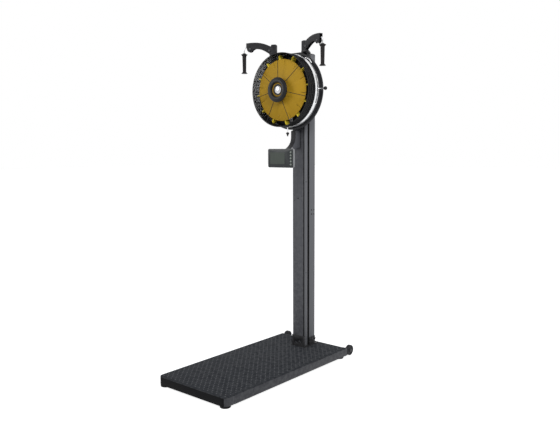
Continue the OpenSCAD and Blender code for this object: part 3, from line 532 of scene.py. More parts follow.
def rounded(points, radii):
    """Rounds every corner of a closed outline by its own radius."""
    steps = 4
    result = []
    for i, (point, radius) in enumerate(zip(points, radii)):
        here = Vector(point)
        if radius == 0:
            result.append(tuple(here))
            continue
        back = (Vector(points[i - 1]) - here).normalized()
        ahead = (Vector(points[(i + 1) % len(points)]) - here).normalized()
        half = math.acos(max(-1, min(1, back.dot(ahead)))) / 2
        reach = radius / math.tan(half)
        start, end = here + back * reach, here + ahead * reach
        centre = here + (back + ahead).normalized() * (radius / math.sin(half))
        for k in range(steps + 1):
            spoke = start.lerp(end, k / steps) - centre
            result.append(tuple(centre + spoke.normalized() * radius))
    return result


def swept(name, path, radius, sides=12, capped=True):
    """A round rod along a path, with a map of the distance round and along it. A list of radii tapers it."""
    shape = bmesh.new()
    around = shape.loops.layers.uv.new("cord_map")
    points = [Vector(p) for p in path]
    radii = radius if isinstance(radius, list) else [radius] * len(points)
    side = (points[1] - points[0]).normalized().orthogonal().normalized()
    rings = []
    travelled = [0.0]
    for i, point in enumerate(points):
        heading = (points[min(i + 1, len(points) - 1)] - points[max(i - 1, 0)]).normalized()
        side = (side - heading * side.dot(heading)).normalized()
        other_side = heading.cross(side)
        if i:
            travelled.append(travelled[-1] + (point - points[i - 1]).length)
        rings.append([point + (side * math.cos(angle) + other_side * math.sin(angle)) * radii[i]
                      for angle in round_angles(sides)])
    for number, face in enumerate(skin(shape, rings, True, capped)):
        i, k = divmod(number, sides)
        girth = 2 * math.pi * radii[i]
        corners = ((k, i), (k + 1, i), (k + 1, i + 1), (k, i + 1))
        for loop, (turn_step, row) in zip(face.loops, corners):
            loop[around].uv = (girth * turn_step / sides, travelled[row])
    return finished(shape, name, 50.0)


def joined(name, meshes):
    """Joins meshes into one and drops the originals."""
    shape = bmesh.new()
    for part in meshes:
        shape.from_mesh(part)
        bpy.data.meshes.remove(part)
    return finished(shape, name, outward=False)


print("shape helpers ready")

# %% [markdown]
# ## The platform
# The platform is a steel frame under a pressed plate. Its edges are rounded by the press, and the walking
# surface is covered with raised dots in staggered rows, so that wet shoes hold. The dots repeat, so a
# Geometry Nodes tree sets one low dome on every point of two grids, one shifted by half a step against the
# other.

# %% Platform frame with rounded edges
press_round = 0.0022
for node_name in ("deck_plate", "side_rail_left", "side_rail_right"):
    soft_copy(node_name, press_round)
# Painted shade: the front rail's faces that point forward are painted near black, for the shade on its front.
shaded_front_limit = -0.85
two_tone(soft_copy("front_rail", press_round), "frame_black", lambda way: way.y < shaded_front_limit)
soft_copy("crossbars", 0.0012)
for node_name in ("feet_front", "feet_rear"):
    soft_copy(node_name, 0.0025, 3)
print("platform pieces rounded")

# %% [markdown]
# ### A tree that sets one shape on many points
# Several pieces below repeat a small shape, so two small helpers run a Geometry Nodes tree and hand back
# plain mesh. The inputs are set by the identifiers of their sockets before the tree is first evaluated.

# %% Running a tree
def run_tree(name, tree, values):
    holder = placed(name, bpy.data.meshes.new(name))
    modifier = holder.modifiers.new("build", "NODES")
    modifier.node_group = tree
    for item in tree.interface.items_tree:
        if item.in_out == "INPUT" and item.name in values:
            modifier[item.identifier] = values[item.name]
    mesh = settled(holder)
    print(name, "has", len(mesh.polygons), "faces")
    return mesh


def shape_group(name, inputs):
    return new_group(name, "GeometryNodeTree", {**inputs, "Material": "Material"}, {"Geometry": "Geometry"})


def close_tree(tree, inputs, outputs, geometry):
    real = add(tree, "GeometryNodeRealizeInstances", None, {"Geometry": geometry}).outputs[0]
    painted = add(tree, "GeometryNodeSetMaterial", None, {"Geometry": real, "Material": inputs["Material"]})
    fill(tree, outputs, {"Geometry": painted.outputs[0]})


def set_on_points(tree, inputs, outputs, points, instance, more):
    """Ends a tree with one shape set on every point."""
    copies = add(tree, "GeometryNodeInstanceOnPoints", None, {"Points": points, "Instance": instance, **more})
    close_tree(tree, inputs, outputs, copies.outputs[0])


def grid(tree, width, depth, columns, rows):
    sockets = {"Size X": width, "Size Y": depth, "Vertices X": columns, "Vertices Y": rows}
    return add(tree, "GeometryNodeMeshGrid", None, sockets).outputs["Mesh"]


def vector(tree, x=0.0, y=0.0, z=0.0):
    return add(tree, "ShaderNodeCombineXYZ", None, {0: x, 1: y, 2: z}).outputs[0]


def point_place(tree):
    place = add(tree, "GeometryNodeInputPosition").outputs[0]
    return add(tree, "ShaderNodeSeparateXYZ", None, {0: place}).outputs


def together(tree, parts):
    both = add(tree, "GeometryNodeJoinGeometry")
    for part in parts:
        tree.links.new(part, both.inputs[0])
    return both.outputs[0]


print("tree helpers ready")

# %% Raised dots on the walking surface
dot_tree, dot_in, dot_out = shape_group("raised_dots", {
    "Width": 0.5, "Length": 1.0, "Columns": 10, "Rows": 20, "Dot Radius": 0.004, "Dot Height": 0.0012,
    "Level": 0.066, "Middle": 0.0, "Foot Edge": 0.37, "Foot Half Width": 0.08})
fewer_columns = maths(dot_tree, "SUBTRACT", dot_in["Columns"], 1.0)
fewer_rows = maths(dot_tree, "SUBTRACT", dot_in["Rows"], 1.0)
step_x = maths(dot_tree, "DIVIDE", dot_in["Width"], fewer_columns)
step_y = maths(dot_tree, "DIVIDE", dot_in["Length"], fewer_rows)
main_grid = grid(dot_tree, dot_in["Width"], dot_in["Length"], dot_in["Columns"], dot_in["Rows"])
between = grid(dot_tree, maths(dot_tree, "SUBTRACT", dot_in["Width"], step_x),
               maths(dot_tree, "SUBTRACT", dot_in["Length"], step_y), fewer_columns, fewer_rows)
both_grids = together(dot_tree, (main_grid, between))
lifted = add(dot_tree, "GeometryNodeSetPosition", None,
             {"Geometry": both_grids, "Offset": vector(dot_tree, 0.0, dot_in["Middle"], dot_in["Level"])})
spot = point_place(dot_tree)
behind = maths(dot_tree, "GREATER_THAN", spot["Y"], dot_in["Foot Edge"])
inside = maths(dot_tree, "LESS_THAN", maths(dot_tree, "ABSOLUTE", spot["X"]), dot_in["Foot Half Width"])
bare = add(dot_tree, "GeometryNodeDeleteGeometry", {"domain": "POINT"},
           {"Geometry": lifted.outputs[0], "Selection": maths(dot_tree, "MULTIPLY", behind, inside)})
ball = add(dot_tree, "GeometryNodeMeshUVSphere", None, {"Segments": 10, "Rings": 6, "Radius": 1.0})
size = vector(dot_tree, dot_in["Dot Radius"], dot_in["Dot Radius"], dot_in["Dot Height"])
set_on_points(dot_tree, dot_in, dot_out, bare.outputs[0], ball.outputs["Mesh"], {"Scale": size})

deck_low, deck_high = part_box("deck_plate")
foot_low, foot_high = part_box("column_foot")
deck_margin = 0.026
foot_margin = 0.008
# The dots take the tread finish, whose light grey is a painted highlight on their tops.
dot_mesh = run_tree("tread_dots", dot_tree, {
    "Width": deck_high.x - deck_low.x - 2 * deck_margin, "Length": deck_high.y - deck_low.y - 2 * deck_margin,
    "Columns": 16, "Rows": 28, "Dot Radius": 0.0038, "Dot Height": 0.0014, "Level": deck_high.z,
    "Middle": (deck_high.y + deck_low.y) / 2, "Foot Edge": foot_low.y - foot_margin,
    "Foot Half Width": foot_high.x + foot_margin, "Material": materials["tread"]})
smooth_by_angle(dot_mesh, 60.0)
as_piece("tread_dots", dot_mesh, "deck", "frame")

# %% [markdown]
# ## The column and its foot
# The column is an aluminium extrusion with two channels down each side, closed by a flat cover in front.
# The solids have the right sections already, so a hair of bevel is all they need.

# %% Column, cover, cap and foot
repaint(soft_copy("column", 0.0012), "column_side")
soft_copy("column_cover", 0.0008)
soft_copy("column_cap", 0.001)
soft_copy("column_foot", 0.0014)
print("column rounded")

# %% [markdown]
# ### Channels
# Each channel down the column's sides gets thin dark sheets on its three walls, and a thin dark strip runs
# down the gap at each edge of the cover. Both are painted shade, for the shade inside the channels and gaps.

# %% Dark channels
shade_sheet_deep, shade_sheet_proud, shade_sheet_thick, shade_sheet_short = 0.0364, 0.0452, 0.0005, 0.002
channel_walls = ((0.3872, 0.3968), (0.4312, 0.4518))
# The seam is a thin dark strip in the gap at each edge of the cover: painted shade.
seam = rectangle(0.0457, 0.0463, 0.3833, 0.3874)
column_low, column_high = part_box("column")
shade_sheet_ends = (column_low.z + shade_sheet_short, column_high.z - shade_sheet_short)


def shade_sheet_outline(front, back):
    inner = shade_sheet_deep + shade_sheet_thick
    return [(shade_sheet_proud, front), (shade_sheet_deep, front), (shade_sheet_deep, back), (shade_sheet_proud, back),
            (shade_sheet_proud, back - shade_sheet_thick), (inner, back - shade_sheet_thick), (inner, front + shade_sheet_thick),
            (shade_sheet_proud, front + shade_sheet_thick)]


outlines = [shade_sheet_outline(*walls) for walls in channel_walls] + [seam]
# Painted shade: dark sheets on the channel walls and in the cover's edge gaps stand for the shade there.
shade_sheets = [prism("channel_liner", [(sign * x, y) for x, y in outline], *shade_sheet_ends)
          for sign in (-1, 1) for outline in outlines]
as_piece("channel_liners", joined("channel_liners", shade_sheets), "rubber", "frame")
print("channels lined, and a dark seam set on each edge of the cover")

# %% [markdown]
# ### Screws and plugs
# A button-head screw is a low dome with a six-sided socket in it. The head is turned once for each size,
# and a tree then sets it on each place, facing the way that the surface there faces.

# %% Screw heads
def screw_head(radius, height, socket_radius):
    """A low domed head with a six-sided socket, standing on z = 0."""
    shape = bmesh.new()
    angles = round_angles(24)
    sixth = math.pi / 3
    dome = ((radius, 0.0), (radius * 0.98, height * 0.35), (radius * 0.86, height * 0.78),
            (radius * 0.66, height), (socket_radius * 1.12, height))
    flat_r = socket_radius * math.cos(sixth / 2)
    six_sided = [flat_r / math.cos(angle % sixth - sixth / 2) for angle in angles]
    rows = [([r] * len(angles), z) for r, z in dome] + [(six_sided, z) for z in (height, height * 0.35)]
    skin(shape, [[(r * math.cos(angle), r * math.sin(angle), z) for r, angle in zip(radii, angles)]
                 for radii, z in rows])
    return finished(shape, "screw_head")


screw_tree, screw_in, screw_out = shape_group("screws_on_points", {"Places": "Object", "Head": "Object"})
places = add(screw_tree, "GeometryNodeObjectInfo", None, {"Object": screw_in["Places"]})
head = add(screw_tree, "GeometryNodeObjectInfo", None, {"Object": screw_in["Head"]})
facing = add(screw_tree, "GeometryNodeInputNamedAttribute", {"data_type": "FLOAT_VECTOR"}, {"Name": "facing"})
aim = add(screw_tree, "FunctionNodeAlignRotationToVector", {"axis": "Z"},
          {"Vector": facing.outputs["Attribute"]})
set_on_points(screw_tree, screw_in, screw_out, places.outputs["Geometry"], head.outputs["Geometry"],
              {"Rotation": aim.outputs[0]})


def screws_at(name, spots, head_size, slot_name, finish_name):
    """One piece with a screw head on every (place, direction) of the list."""
    mesh = bpy.data.meshes.new(name + "_places")
    mesh.from_pydata([spot for spot, way in spots], [], [])
    mesh.attributes.new("facing", "FLOAT_VECTOR", "POINT")
    for i, (spot, way) in enumerate(spots):
        mesh.attributes["facing"].data[i].vector = way
    helper = placed(name + "_places", mesh)
    pattern = placed(name + "_head", screw_head(*head_size))
    values = {"Places": helper, "Head": pattern, "Material": materials[finish_name]}
    result = run_tree(name, screw_tree, values)
    for item in (helper, pattern):
        bpy.data.objects.remove(item)
    smooth_by_angle(result)
    as_piece(name, result, slot_name, "frame")


def on_sides(x, rows, heights):
    return [((side * x, y, z), (side, 0, 0)) for side in (-1, 1) for y in rows for z in heights]


def on_front(columns, heights):
    return [((x, cover_y + 0.003, z), (0, -1, 0)) for x in columns for z in heights]


cover_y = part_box("column_cover")[0].y
side_x = column_high.x - 0.0002
plug_z = 1.121
for row in (
        ("strip_screws", on_sides(side_x, [0.414], [0.598, 1.236, 1.900]), (0.0042, 0.0022, 0.0018),
         "bolt", "black_plastic"),
        ("cover_plug", on_front([0.0], [plug_z]), (0.0047, 0.0026, 0.0018), "rubber", "rubber"),
        ("cover_plugs", on_front([-0.032, 0.032], [plug_z - 0.016, plug_z + 0.016]), (0.0025, 0.0026, 0.001),
         "rubber", "rubber"),
        ("side_plugs", on_sides(side_x, [0.478, 0.506], [1.007, 1.036]), (0.0052, 0.0016, 0.0022),
         "black_plastic", "black_plastic"),
        ("foot_screws", on_sides(0.0552, [0.480, 0.505], [0.107]), (0.0078, 0.0042, 0.0034),
         "bolt", "bolt_dark"),
        ("bracket_bolt", on_sides(0.0196, [0.293], [1.465]), (0.0078, 0.004, 0.0034), "bolt", "bolt")):
    screws_at(*row)

# %% [markdown]
# ## The cage
# The cage is welded from round wire: one ring at the rim, seven spokes that bend forward from it and run to
# a ring in the middle, and a fine perforated screen round the side that keeps fingers off the blades. Rings
# and spokes repeat about the fan's axis, so trees build them from circles and lines with a round profile.

# %% Wires of the cage
cage_r = 0.242


def wire_tree(name, more=None):
    tree, inputs, outputs = shape_group(name, {
        "Count": 1, "Step": 0.0, "Outer": cage_r, "Level": 0.19, "Wire Radius": 0.002, **(more or {})})
    profile = add(tree, "GeometryNodeCurvePrimitiveCircle", {"mode": "RADIUS"},
                  {"Resolution": 8, "Radius": inputs["Wire Radius"]})
    row = add(tree, "GeometryNodeMeshLine", {"mode": "OFFSET"},
              {"Count": inputs["Count"], "Start Location": vector(tree, 0.0, inputs["Level"], fan_z)})
    return tree, inputs, outputs, profile.outputs["Curve"], row


def as_tube(tree, line, profile):
    sockets = {"Curve": line.outputs["Curve"], "Profile Curve": profile, "Fill Caps": True}
    return add(tree, "GeometryNodeCurveToMesh", None, sockets).outputs["Mesh"]


spoke_tree, spoke_in, spoke_out, profile, row = wire_tree(
    "radial_wires", {"Start": 0.0, "Inner": 0.08, "Shoulder": 0.226, "Rise": 0.018})
fill(spoke_tree, row.inputs, {"Offset": (0.0, 0.0, 0.0)})
shoulder = vector(spoke_tree, spoke_in["Shoulder"])
rod = add(spoke_tree, "GeometryNodeCurvePrimitiveLine", {"mode": "POINTS"},
          {"Start": vector(spoke_tree, spoke_in["Inner"]), "End": shoulder})
bend = add(spoke_tree, "GeometryNodeCurvePrimitiveLine", {"mode": "POINTS"},
           {"Start": shoulder, "End": vector(spoke_tree, spoke_in["Outer"], spoke_in["Rise"])})
bent_rod = together(spoke_tree, [as_tube(spoke_tree, line, profile) for line in (rod, bend)])
order = add(spoke_tree, "GeometryNodeInputIndex").outputs[0]
swing = maths(spoke_tree, "ADD", spoke_in["Start"], maths(spoke_tree, "MULTIPLY", order, spoke_in["Step"]))
set_on_points(spoke_tree, spoke_in, spoke_out, row.outputs["Mesh"], bent_rod,
              {"Rotation": vector(spoke_tree, 0.0, swing, 0.0)})

ring_tree, ring_in, ring_out, profile, row = wire_tree("ring_wires")
fill(ring_tree, row.inputs, {"Offset": vector(ring_tree, 0.0, ring_in["Step"], 0.0)})
hoop = add(ring_tree, "GeometryNodeCurvePrimitiveCircle", {"mode": "RADIUS"},
           {"Resolution": 128, "Radius": ring_in["Outer"]})
set_on_points(ring_tree, ring_in, ring_out, row.outputs["Mesh"], as_tube(ring_tree, hoop, profile),
              {"Rotation": (math.pi / 2, 0.0, 0.0)})


def wires(name, tree, **values):
    labels = {label.replace("_", " "): value for label, value in values.items()}
    return run_tree(name, tree, {**labels, "Material": materials["wire"]})


def ring(name, radius, y, wire_radius):
    return wires(name, ring_tree, Count=1, Outer=radius, Level=y, Wire_Radius=wire_radius)


spoke_count = 7
bar_count = 3 * spoke_count
rim_wire, thin_wire, bar_wire = 0.0025, 0.0018, 0.0016
rim_r = cage_r - rim_wire
spoke_lap = 0.003
shoulder_r = 0.226
side_step = 0.018
side_ring_r = cage_r - 0.002
guard_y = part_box("wire_guard")[0].y
screen_low, screen_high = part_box("guard_screen")
ring_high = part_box("hub_ring")[1]
rim_y = screen_low.y - rim_wire
spoke_y = guard_y + thin_wire
front_parts = [
    ring("front_ring", rim_r, rim_y, rim_wire),
    wires("front_spokes", spoke_tree, Count=spoke_count, Start=-math.pi / 2, Step=2 * math.pi / spoke_count,
          Inner=ring_high.x - spoke_lap, Shoulder=shoulder_r, Outer=cage_r - spoke_lap, Rise=rim_y - spoke_y,
          Level=spoke_y, Wire_Radius=thin_wire)]
as_piece("guard_front_wires", joined("guard_front_wires", front_parts), "wire", "frame", ["wire_guard"])

band_ring_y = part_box("rim_band")[0].y - rim_wire
side_parts = [wires("side_rings", ring_tree, Count=3, Step=side_step, Outer=side_ring_r,
                    Level=rim_y + side_step, Wire_Radius=thin_wire),
              ring("band_ring", rim_r, band_ring_y, rim_wire)]
for k in range(bar_count):
    angle = 2 * math.pi * (k + 0.5) / bar_count
    bar_x, bar_z = rim_r * math.cos(angle), fan_z - rim_r * math.sin(angle)
    side_parts.append(swept("side_bar", [(bar_x, rim_y, bar_z), (bar_x, band_ring_y, bar_z)], bar_wire, 8))
as_piece("guard_side_wires", joined("guard_side_wires", side_parts), "wire", "frame", ["wire_rings"])

# %% [markdown]
# ### The perforated screen
# The screen is thin sheet with a honeycomb of holes. A grid of triangles is rolled into a tube, its dual
# mesh gives hexagons, and each hexagon is shrunk and removed, which leaves the webs between the holes. A
# Solidify modifier gives the sheet its thickness.

# %% Screen tree
mesh_tree, mesh_in, mesh_out = shape_group("perforated_tube", {
    "Radius": 0.237, "Depth": 0.065, "Holes Round": 240, "Holes Deep": 12, "Hole Share": 0.6, "Level": 0.2,
    "Axis Height": fan_z})
sheet = grid(mesh_tree, 1.0, mesh_in["Depth"], maths(mesh_tree, "ADD", mesh_in["Holes Round"], 1.0),
             mesh_in["Holes Deep"])
spot = point_place(mesh_tree)
gap = maths(mesh_tree, "DIVIDE", mesh_in["Depth"], maths(mesh_tree, "SUBTRACT", mesh_in["Holes Deep"], 1.0))
row_number = maths(mesh_tree, "DIVIDE", maths(mesh_tree, "ADD", spot["Y"], 1.0), gap)
odd = maths(mesh_tree, "MODULO", maths(mesh_tree, "ROUND", row_number), 2.0)
shift = maths(mesh_tree, "DIVIDE", maths(mesh_tree, "MULTIPLY", odd, 0.5), mesh_in["Holes Round"])
around = maths(mesh_tree, "MULTIPLY", maths(mesh_tree, "ADD", spot["X"], shift), 2 * math.pi)
out_x = maths(mesh_tree, "MULTIPLY", mesh_in["Radius"], maths(mesh_tree, "SINE", around))
out_z = maths(mesh_tree, "MULTIPLY", mesh_in["Radius"], maths(mesh_tree, "COSINE", around))
rolled_place = vector(mesh_tree, out_x, maths(mesh_tree, "ADD", spot["Y"], mesh_in["Level"]),
                      maths(mesh_tree, "ADD", out_z, mesh_in["Axis Height"]))
split = add(mesh_tree, "GeometryNodeTriangulate", None, {"Mesh": sheet})
rolled = add(mesh_tree, "GeometryNodeSetPosition", None,
             {"Geometry": split.outputs[0], "Position": rolled_place})
closed = add(mesh_tree, "GeometryNodeMergeByDistance", None,
             {"Geometry": rolled.outputs[0], "Distance": 0.0001})
honeycomb = add(mesh_tree, "GeometryNodeDualMesh", None, {"Mesh": closed.outputs[0], "Keep Boundaries": True})
webs = add(mesh_tree, "GeometryNodeExtrudeMesh", {"mode": "FACES"},
           {"Mesh": honeycomb.outputs[0], "Offset Scale": 0.0, "Individual": True})
tops = webs.outputs["Top"]
shrunk = add(mesh_tree, "GeometryNodeScaleElements", {"domain": "FACE"},
             {"Geometry": webs.outputs["Mesh"], "Selection": tops, "Scale": mesh_in["Hole Share"]})
opened = add(mesh_tree, "GeometryNodeDeleteGeometry", {"domain": "FACE"},
             {"Geometry": shrunk.outputs[0], "Selection": tops})
close_tree(mesh_tree, mesh_in, mesh_out, opened.outputs[0])

sheet_thick = 0.001
sheet_inset = 0.0006
screen_mesh = run_tree("guard_mesh", mesh_tree, {
    "Radius": screen_high.x - sheet_inset, "Depth": screen_high.y - screen_low.y, "Holes Round": 300,
    "Holes Deep": 16, "Hole Share": 0.52, "Level": (screen_high.y + screen_low.y) / 2,
    "Axis Height": fan_z, "Material": materials["wire"]})
screen_mesh = thickened("guard_mesh", screen_mesh, sheet_thick, 0.0, 25.0)
as_piece("guard_mesh", screen_mesh, "wire", "frame", ["guard_screen"])
print("screen has", len(screen_mesh.polygons), "faces")

# %% [markdown]
# ## The fan
# The disc and its paddles are moulded in one colour and turn together. The paddles are radial plates behind
# the disc, and only their ends show past its edge; their brighter gold is painted light. The guard's middle
# ring is a rolled dish, so it is turned from a rounded outline. A dark ring round the hub's cap is painted
# shade, for the shade in the recess there.

# %% Fan disc, paddles and hub
soft_copy("fan_disc", 0.0006)
# The paddles' brighter gold is painted light on their ends.
soft_copy("fan_blades", 0.0009)
soft_copy("fan_hub", 0.0012, 3)
repaint(soft_copy("hub_cap", 0.0016, 3), "cap_metal")
dish_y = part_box("hub_ring")[0].y
dish = rounded([(0.048, dish_y + 0.004), (0.0535, dish_y), (ring_high.x - 0.017, dish_y),
                (ring_high.x, dish_y + 0.0085), (ring_high.x, ring_high.y), (0.0455, ring_high.y)],
               [0.002, 0.002, 0.007, 0.0045, 0.0012, 0.0012])
dish_mesh = turned_on_fan("guard_dish", dish)
dish_mesh.materials.append(materials["wire"])
as_piece("guard_dish", dish_mesh, "cast_dark", "frame", ["hub_ring"])
# Painted shade: a dark ring round the hub's cap stands for the shade in the recess there.
recess_shade_inner, recess_shade_outer, recess_shade_thick, recess_shade_round = 0.0282, 0.0372, 0.003, 0.0006
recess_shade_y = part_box("hub_cap")[0].y + 0.0052
recess_shade = rounded(rectangle(recess_shade_inner, recess_shade_outer, recess_shade_y, recess_shade_y + recess_shade_thick), [recess_shade_round] * 4)
as_piece("hub_seal", turned_on_fan("hub_seal", recess_shade), "black_plastic", "flywheel")
print("fan made")

# %% [markdown]
# ## The shells behind the blades
# The bright band and the rear shell are spun sheet. Their solids are kept and only their edges are eased.
# The damper behind them opens and closes the air windows. Its bore is eased by 0.3 mm, so that its flat
# facets don't cross the boss's facets when it turns. A bright strip bulges over the shell's flange: it is a
# painted highlight, for the light that the flange catches there. Close rings of wire keep the light out of
# the windows at the back.

# %% Band, shell and damper
soft_copy("rim_band", 0.0006)
soft_copy("rear_shell", 0.001)
soft_copy("shell_flange", 0.0008)
damper_plate = soft_copy("damper_ring", 0.0005)
bore_reach = 0.0615
bore_ease = 0.0003
for vertex in damper_plate.data.vertices:
    radius = math.hypot(vertex.co.x, vertex.co.z - fan_z)
    if radius < bore_reach:
        vertex.co.x *= 1 + bore_ease / radius
        vertex.co.z = fan_z + (vertex.co.z - fan_z) * (1 + bore_ease / radius)
soft_copy("drive_bracket", 0.0012)

# Painted highlight: a bright metal strip over the shell's flange, where the flange catches the light.
highlight_start, highlight_sweep, highlight_steps = 45.0, 15.0, 12
highlight_r, highlight_bulge, highlight_y, highlight_wire = 0.2415, 0.006, 0.31, 0.0042
highlight_path = []
for step in range(highlight_steps + 1):
    share = step / highlight_steps
    angle = math.radians(highlight_start + highlight_sweep * share)
    reach = highlight_r + highlight_bulge * math.sin(math.pi * share)
    highlight_path.append((reach * math.cos(angle), highlight_y, fan_z + reach * math.sin(angle)))
as_piece("shell_clip", swept("shell_clip", highlight_path, highlight_wire), "band", "frame")

grille_inner, grille_pitch, grille_count, grille_y, grille_wire = 0.098, 0.005, 22, 0.3391, 0.0023
grille = [ring("rear_ring", grille_inner + grille_pitch * k, grille_y, grille_wire)
          for k in range(grille_count)]
as_piece("rear_grille", joined("rear_grille", grille), "wire", "frame")
print("shells made")

# %% [markdown]
# ## Crossbeam, arms and pulleys
# These are castings, with generous round edges and a rough skin. The bevel is wider than on sheet parts.

# %% Castings
soft_copy("crossbeam", 0.0015)
for side in ("left", "right"):
    soft_copy("arm_" + side, 0.0018, 3)
    soft_copy("root_block_" + side, 0.002, 3)
    for part in ("tip_pulley_", "root_pulley_", "beam_pulley_"):
        soft_copy(part + side, 0.0005)
    repaint(soft_copy("arm_bolts_" + side, 0.0008), "bolt_dark")
    soft_copy("spool_" + side, 0.0008)
print("castings made")

# %% [markdown]
# ### Guides and cords
# The cord leaves each arm through a bent steel tube and drops to the handle. It is held taut by a spring in
# the spool, so it has no slack to lie about. Its way repeats the solids' way: over the tip pulley, over the
# root pulley and down through the beam, then from the beam's box over its pulley to the spool.

# %% The arm's own axes
arm_angle = math.radians(20.9)
arm_root = Vector((0.113, 0.294, 0.0))
arm_along = Vector((math.cos(arm_angle), -math.sin(arm_angle), 0.0))


def on_arm(side, along, height):
    spot = arm_root + arm_along * along
    return Vector((side * spot.x, spot.y, height))


def arc_points(centre, radius, start, end, steps):
    """Points [along, height] of an arc, angles in degrees from the arm's outward direction."""
    angles = [math.radians(start + (end - start) * k / steps) for k in range(steps + 1)]
    return [(centre[0] + radius * math.cos(angle), centre[1] + radius * math.sin(angle)) for angle in angles]


pulley_path = 0.014
spool_path = 0.030
cord_radius = 0.00175
tip_centre = (0.190, 2.143)
root_centre = (0.050, 2.125)
bend_centre = (0.217, 2.137)
bend_radius = 0.020
drop_along = bend_centre[0] + bend_radius
top_z = tip_centre[1] + pulley_path
beam_hole = (root_centre[0] - pulley_path, 2.099)
beam_x, beam_z = 0.106, 2.075
spool_lead = 0.06
socket_deep = 0.006
slope = math.degrees(math.atan2(tip_centre[1] - root_centre[1], tip_centre[0] - root_centre[0]))
print("arm axes set; the cord climbs", round(slope, 2), "degrees between its pulleys")

# %% Horns and cords
horn_radii = [0.0048] * 14 + [0.0049, 0.0052, 0.0058]
horn_start, horn_lead, horn_wall = 0.205, 0.211, 0.0014
for side, sign, depth, wheel_end in (("left", -1, 0.348, 0), ("right", 1, 0.364, 180)):
    horn_line = [(horn_start, top_z), (horn_lead, top_z)] + arc_points(bend_centre, bend_radius, 90, 0, 14)
    horn = swept("horn", [on_arm(sign, s, z) for s, z in horn_line], horn_radii, 20, False)
    tube = thickened("horn_" + side, horn, horn_wall, -1.0, 40.0)
    as_piece("horn_tube_" + side, tube, "chrome", "frame", ["guide_horn_" + side])

    upper = [(bend_centre[0], top_z), (horn_start, top_z)]
    upper += arc_points(tip_centre, pulley_path, 90, 90 + slope, 3)
    upper += arc_points(root_centre, pulley_path, 90 + slope, 180, 10) + [beam_hole]
    upper_mesh = swept("cord_upper", [on_arm(sign, s, z) for s, z in upper], cord_radius, 10)
    lower = [(sign * beam_x, beam_z + pulley_path)]
    lower += arc_points((spool_path + sign * pulley_path, beam_z), pulley_path, 90, wheel_end, 10)
    lower += [(spool_path, fan_z + spool_lead)] + arc_points((0.0, fan_z), spool_path, 0, -170, 24)
    lower_mesh = swept("cord_lower", [(x, depth, z) for x, z in lower], cord_radius, 10)
    route = joined("cord_route", [upper_mesh, lower_mesh])
    as_piece("cord_route_" + side, route, "cord", "frame", ["cord_run_" + side])

    handle_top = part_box("handle_ends_" + side)[1].z
    cord_top, cord_end = bend_centre[1] + 0.002, handle_top - socket_deep
    drop = [on_arm(sign, drop_along, cord_top + (cord_end - cord_top) * k / 10) for k in range(11)]
    drop_mesh = swept("cord_out", drop, cord_radius, 10)
    cord = as_piece("cord_out_" + side, drop_mesh, "cord", None, ["cord_drop_" + side])
    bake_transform(cord)
print("cords and guides made")

# %% [markdown]
# ### Handles
# Each handle is a soft tapered grip between two discs, with a cap that takes the cord. The grip flares out
# to the discs and has fine rings pressed into it, so its outline is turned with shallow waves about the
# handle's own axis.

# %% Handles
def turned_on_handle(name, outline, centre):
    return turned(name, outline, lambda x, y, z: (centre.x + x, centre.y + y, z), 40, False, 40.0)


disc_r, disc_thick = 0.022, 0.003
socket_r = 0.0022
grip_r, grip_taper = 0.012, 0.002
waves, wave_deep = 22, 0.00035
flare, flare_reach = 0.0078, 0.009
for side, sign in (("left", -1), ("right", 1)):
    centre = on_arm(sign, drop_along, 0.0)
    grip_low, grip_high = (corner.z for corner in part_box("handle_grip_" + side))
    ends_low, ends_high = (corner.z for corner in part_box("handle_ends_" + side))
    outline = [(0.0, grip_low)]
    for k in range(waves * 4 + 1):
        share = k / (waves * 4)
        ripple = wave_deep * (1 - math.cos(2 * math.pi * share * waves)) / 2
        height = grip_low + (grip_high - grip_low) * share
        from_disc = min(height - grip_low, grip_high - height)
        widening = flare * max(0.0, 1 - from_disc / flare_reach)
        outline.append((grip_r + grip_taper * share - ripple + widening, height))
    outline.append((0.0, grip_high))
    grip = turned_on_handle("grip", outline, centre)
    as_piece("grip_" + side, grip, "grip", "handle_" + side, ["handle_grip_" + side])
    top_disc = rounded([(0.0, grip_high), (disc_r, grip_high), (disc_r, grip_high + disc_thick),
                        (0.0145, grip_high + disc_thick), (0.012, ends_high - 0.0035), (0.0075, ends_high),
                        (socket_r, ends_high), (socket_r, ends_high - socket_deep),
                        (0.0, ends_high - socket_deep)],
                       [0, 0.0011, 0.0011, 0.0008, 0.002, 0.0015, 0.0003, 0, 0])
    low_disc = rounded([(0.0, ends_low), (0.020, ends_low), (disc_r, grip_low), (0.0, grip_low)],
                       [0, 0.001, 0.0011, 0])
    caps = joined("handle_caps", [turned_on_handle("cap", disc, centre) for disc in (top_disc, low_disc)])
    as_piece("handle_caps_" + side, caps, "black_plastic", "handle_" + side, ["handle_ends_" + side])
print("handles made")

# %% [markdown]
# ## The console
# A flat box with a dark face, a raised window with a grey-green display behind it, and five keys. Its
# bracket is darker on its front and back than on its sides.

# %% Console body
bracket = soft_copy("console_bracket", 0.0015)
repaint(bracket, "column")
looks_sideways = 0.7
two_tone(bracket, "cast_dark", lambda way: abs(way.x) < looks_sideways)
soft_copy("console_housing", 0.0018, 3)
soft_copy("console_screen", 0.0005)
for key in range(1, 6):
    soft_copy("button_%d" % key, 0.0012, 3)
window_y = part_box("console_screen")[0].y
display_left, display_right, display_low, display_high = -0.089, 0.037, 1.362, 1.44
display_outline = rectangle(display_left, display_right, window_y - 0.0003, window_y + 0.0005)
display = prism("display", display_outline, display_low, display_high)
display.materials.append(materials["display"])
as_piece("display", display, "screen", "console")
print("console made")

# %% [markdown]
# ## Small parts
# Wheels, knobs, bolts and the axle. The thumb knob and the damper's lever have bright stems.

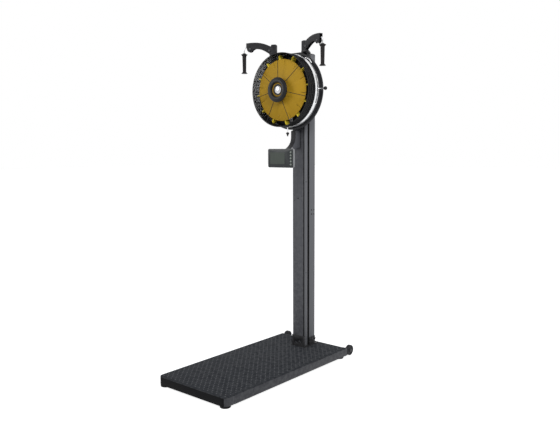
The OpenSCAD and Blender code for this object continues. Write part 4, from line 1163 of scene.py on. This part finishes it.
# %% Wheels, knobs, bolts
for side in ("left", "right"):
    soft_copy("wheel_" + side, 0.0018, 3)
repaint(soft_copy("frame_bolts", 0.0008), "bolt_dark")
soft_copy("fan_axle", 0.0008)
soft_copy("thumb_knob", 0.0008)
soft_copy("damper_knob", 0.0004)
thumb_y, thumb_foot = 0.271, 1.5745
thumb_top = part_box("thumb_knob")[1].z - 0.0006
lever_y = 0.285
lever_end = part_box("damper_knob")[0].x + 0.0005
for name, start, end, radius, body in (
        ("thumb_stem", (0, thumb_y, thumb_foot), (0, thumb_y, thumb_top), 0.0034, "frame"),
        ("lever_stem", (cage_r + 0.003, lever_y, fan_z), (lever_end, lever_y, fan_z), 0.0038, "damper")):
    as_piece(name, swept(name, [start, end], radius, 16), "chrome", body)
print("small parts made")

# %% [markdown]
# ## Studio
# A pale floor and soft light. The world is a plain grey light for the object and pure white for the camera,
# for mirrors and for glass. One large lamp from the right gives the column's side its lighter face.

# %% Light and floor
def seen_directly(tree):
    """One for rays from the camera, through glass or off a mirror, and none for the rest."""
    rays = add(tree, "ShaderNodeLightPath").outputs
    seen = maths(tree, "MAXIMUM", rays["Is Camera Ray"], rays["Is Transmission Ray"])
    return maths(tree, "MAXIMUM", seen, rays["Is Glossy Ray"])


white = (1, 1, 1, 1)
world = bpy.data.worlds.new("studio")
bpy.context.scene.world = world
world.use_nodes = True
sky = world.node_tree
sky_colour = blend_colour(sky, seen_directly(sky), (0.3, 0.31, 0.33, 1), white)
fill(sky, sky.nodes["Background"].inputs, {"Color": sky_colour, "Strength": 1.0})

floor_tree, floor_shader = new_material("floor")
fill(floor_tree, floor_shader.inputs, {
    "Base Color": (0.55, 0.55, 0.55, 1), "Roughness": 0.9, "Emission Color": white,
    "Emission Strength": maths(floor_tree, "MULTIPLY", seen_directly(floor_tree), 0.86)})
floor_mesh = bpy.data.meshes.new("floor")
reach = 40.0
floor_mesh.from_pydata([(x, y, 0) for x, y in rectangle(-reach, reach, -reach, reach)], [], [(0, 1, 2, 3)])
floor_mesh.materials.append(materials["floor"])
placed("floor", floor_mesh)


def soft_lamp(name, place, target, size, power):
    light = bpy.data.lights.new(name, "AREA")
    light.shape = "DISK"
    light.size = size
    light.energy = power
    lamp = placed(name, light)
    lamp.location = place
    lamp.rotation_euler = (Vector(target) - Vector(place)).to_track_quat("-Z", "Y").to_euler()


soft_lamp("key", (2.5, -1.5, 3.2), (0, 0.2, 1.4), 1.6, 62)
soft_lamp("front", (-2.6, -3.5, 3.0), (0, 0.2, 1.3), 2.4, 60)
print("studio lit")
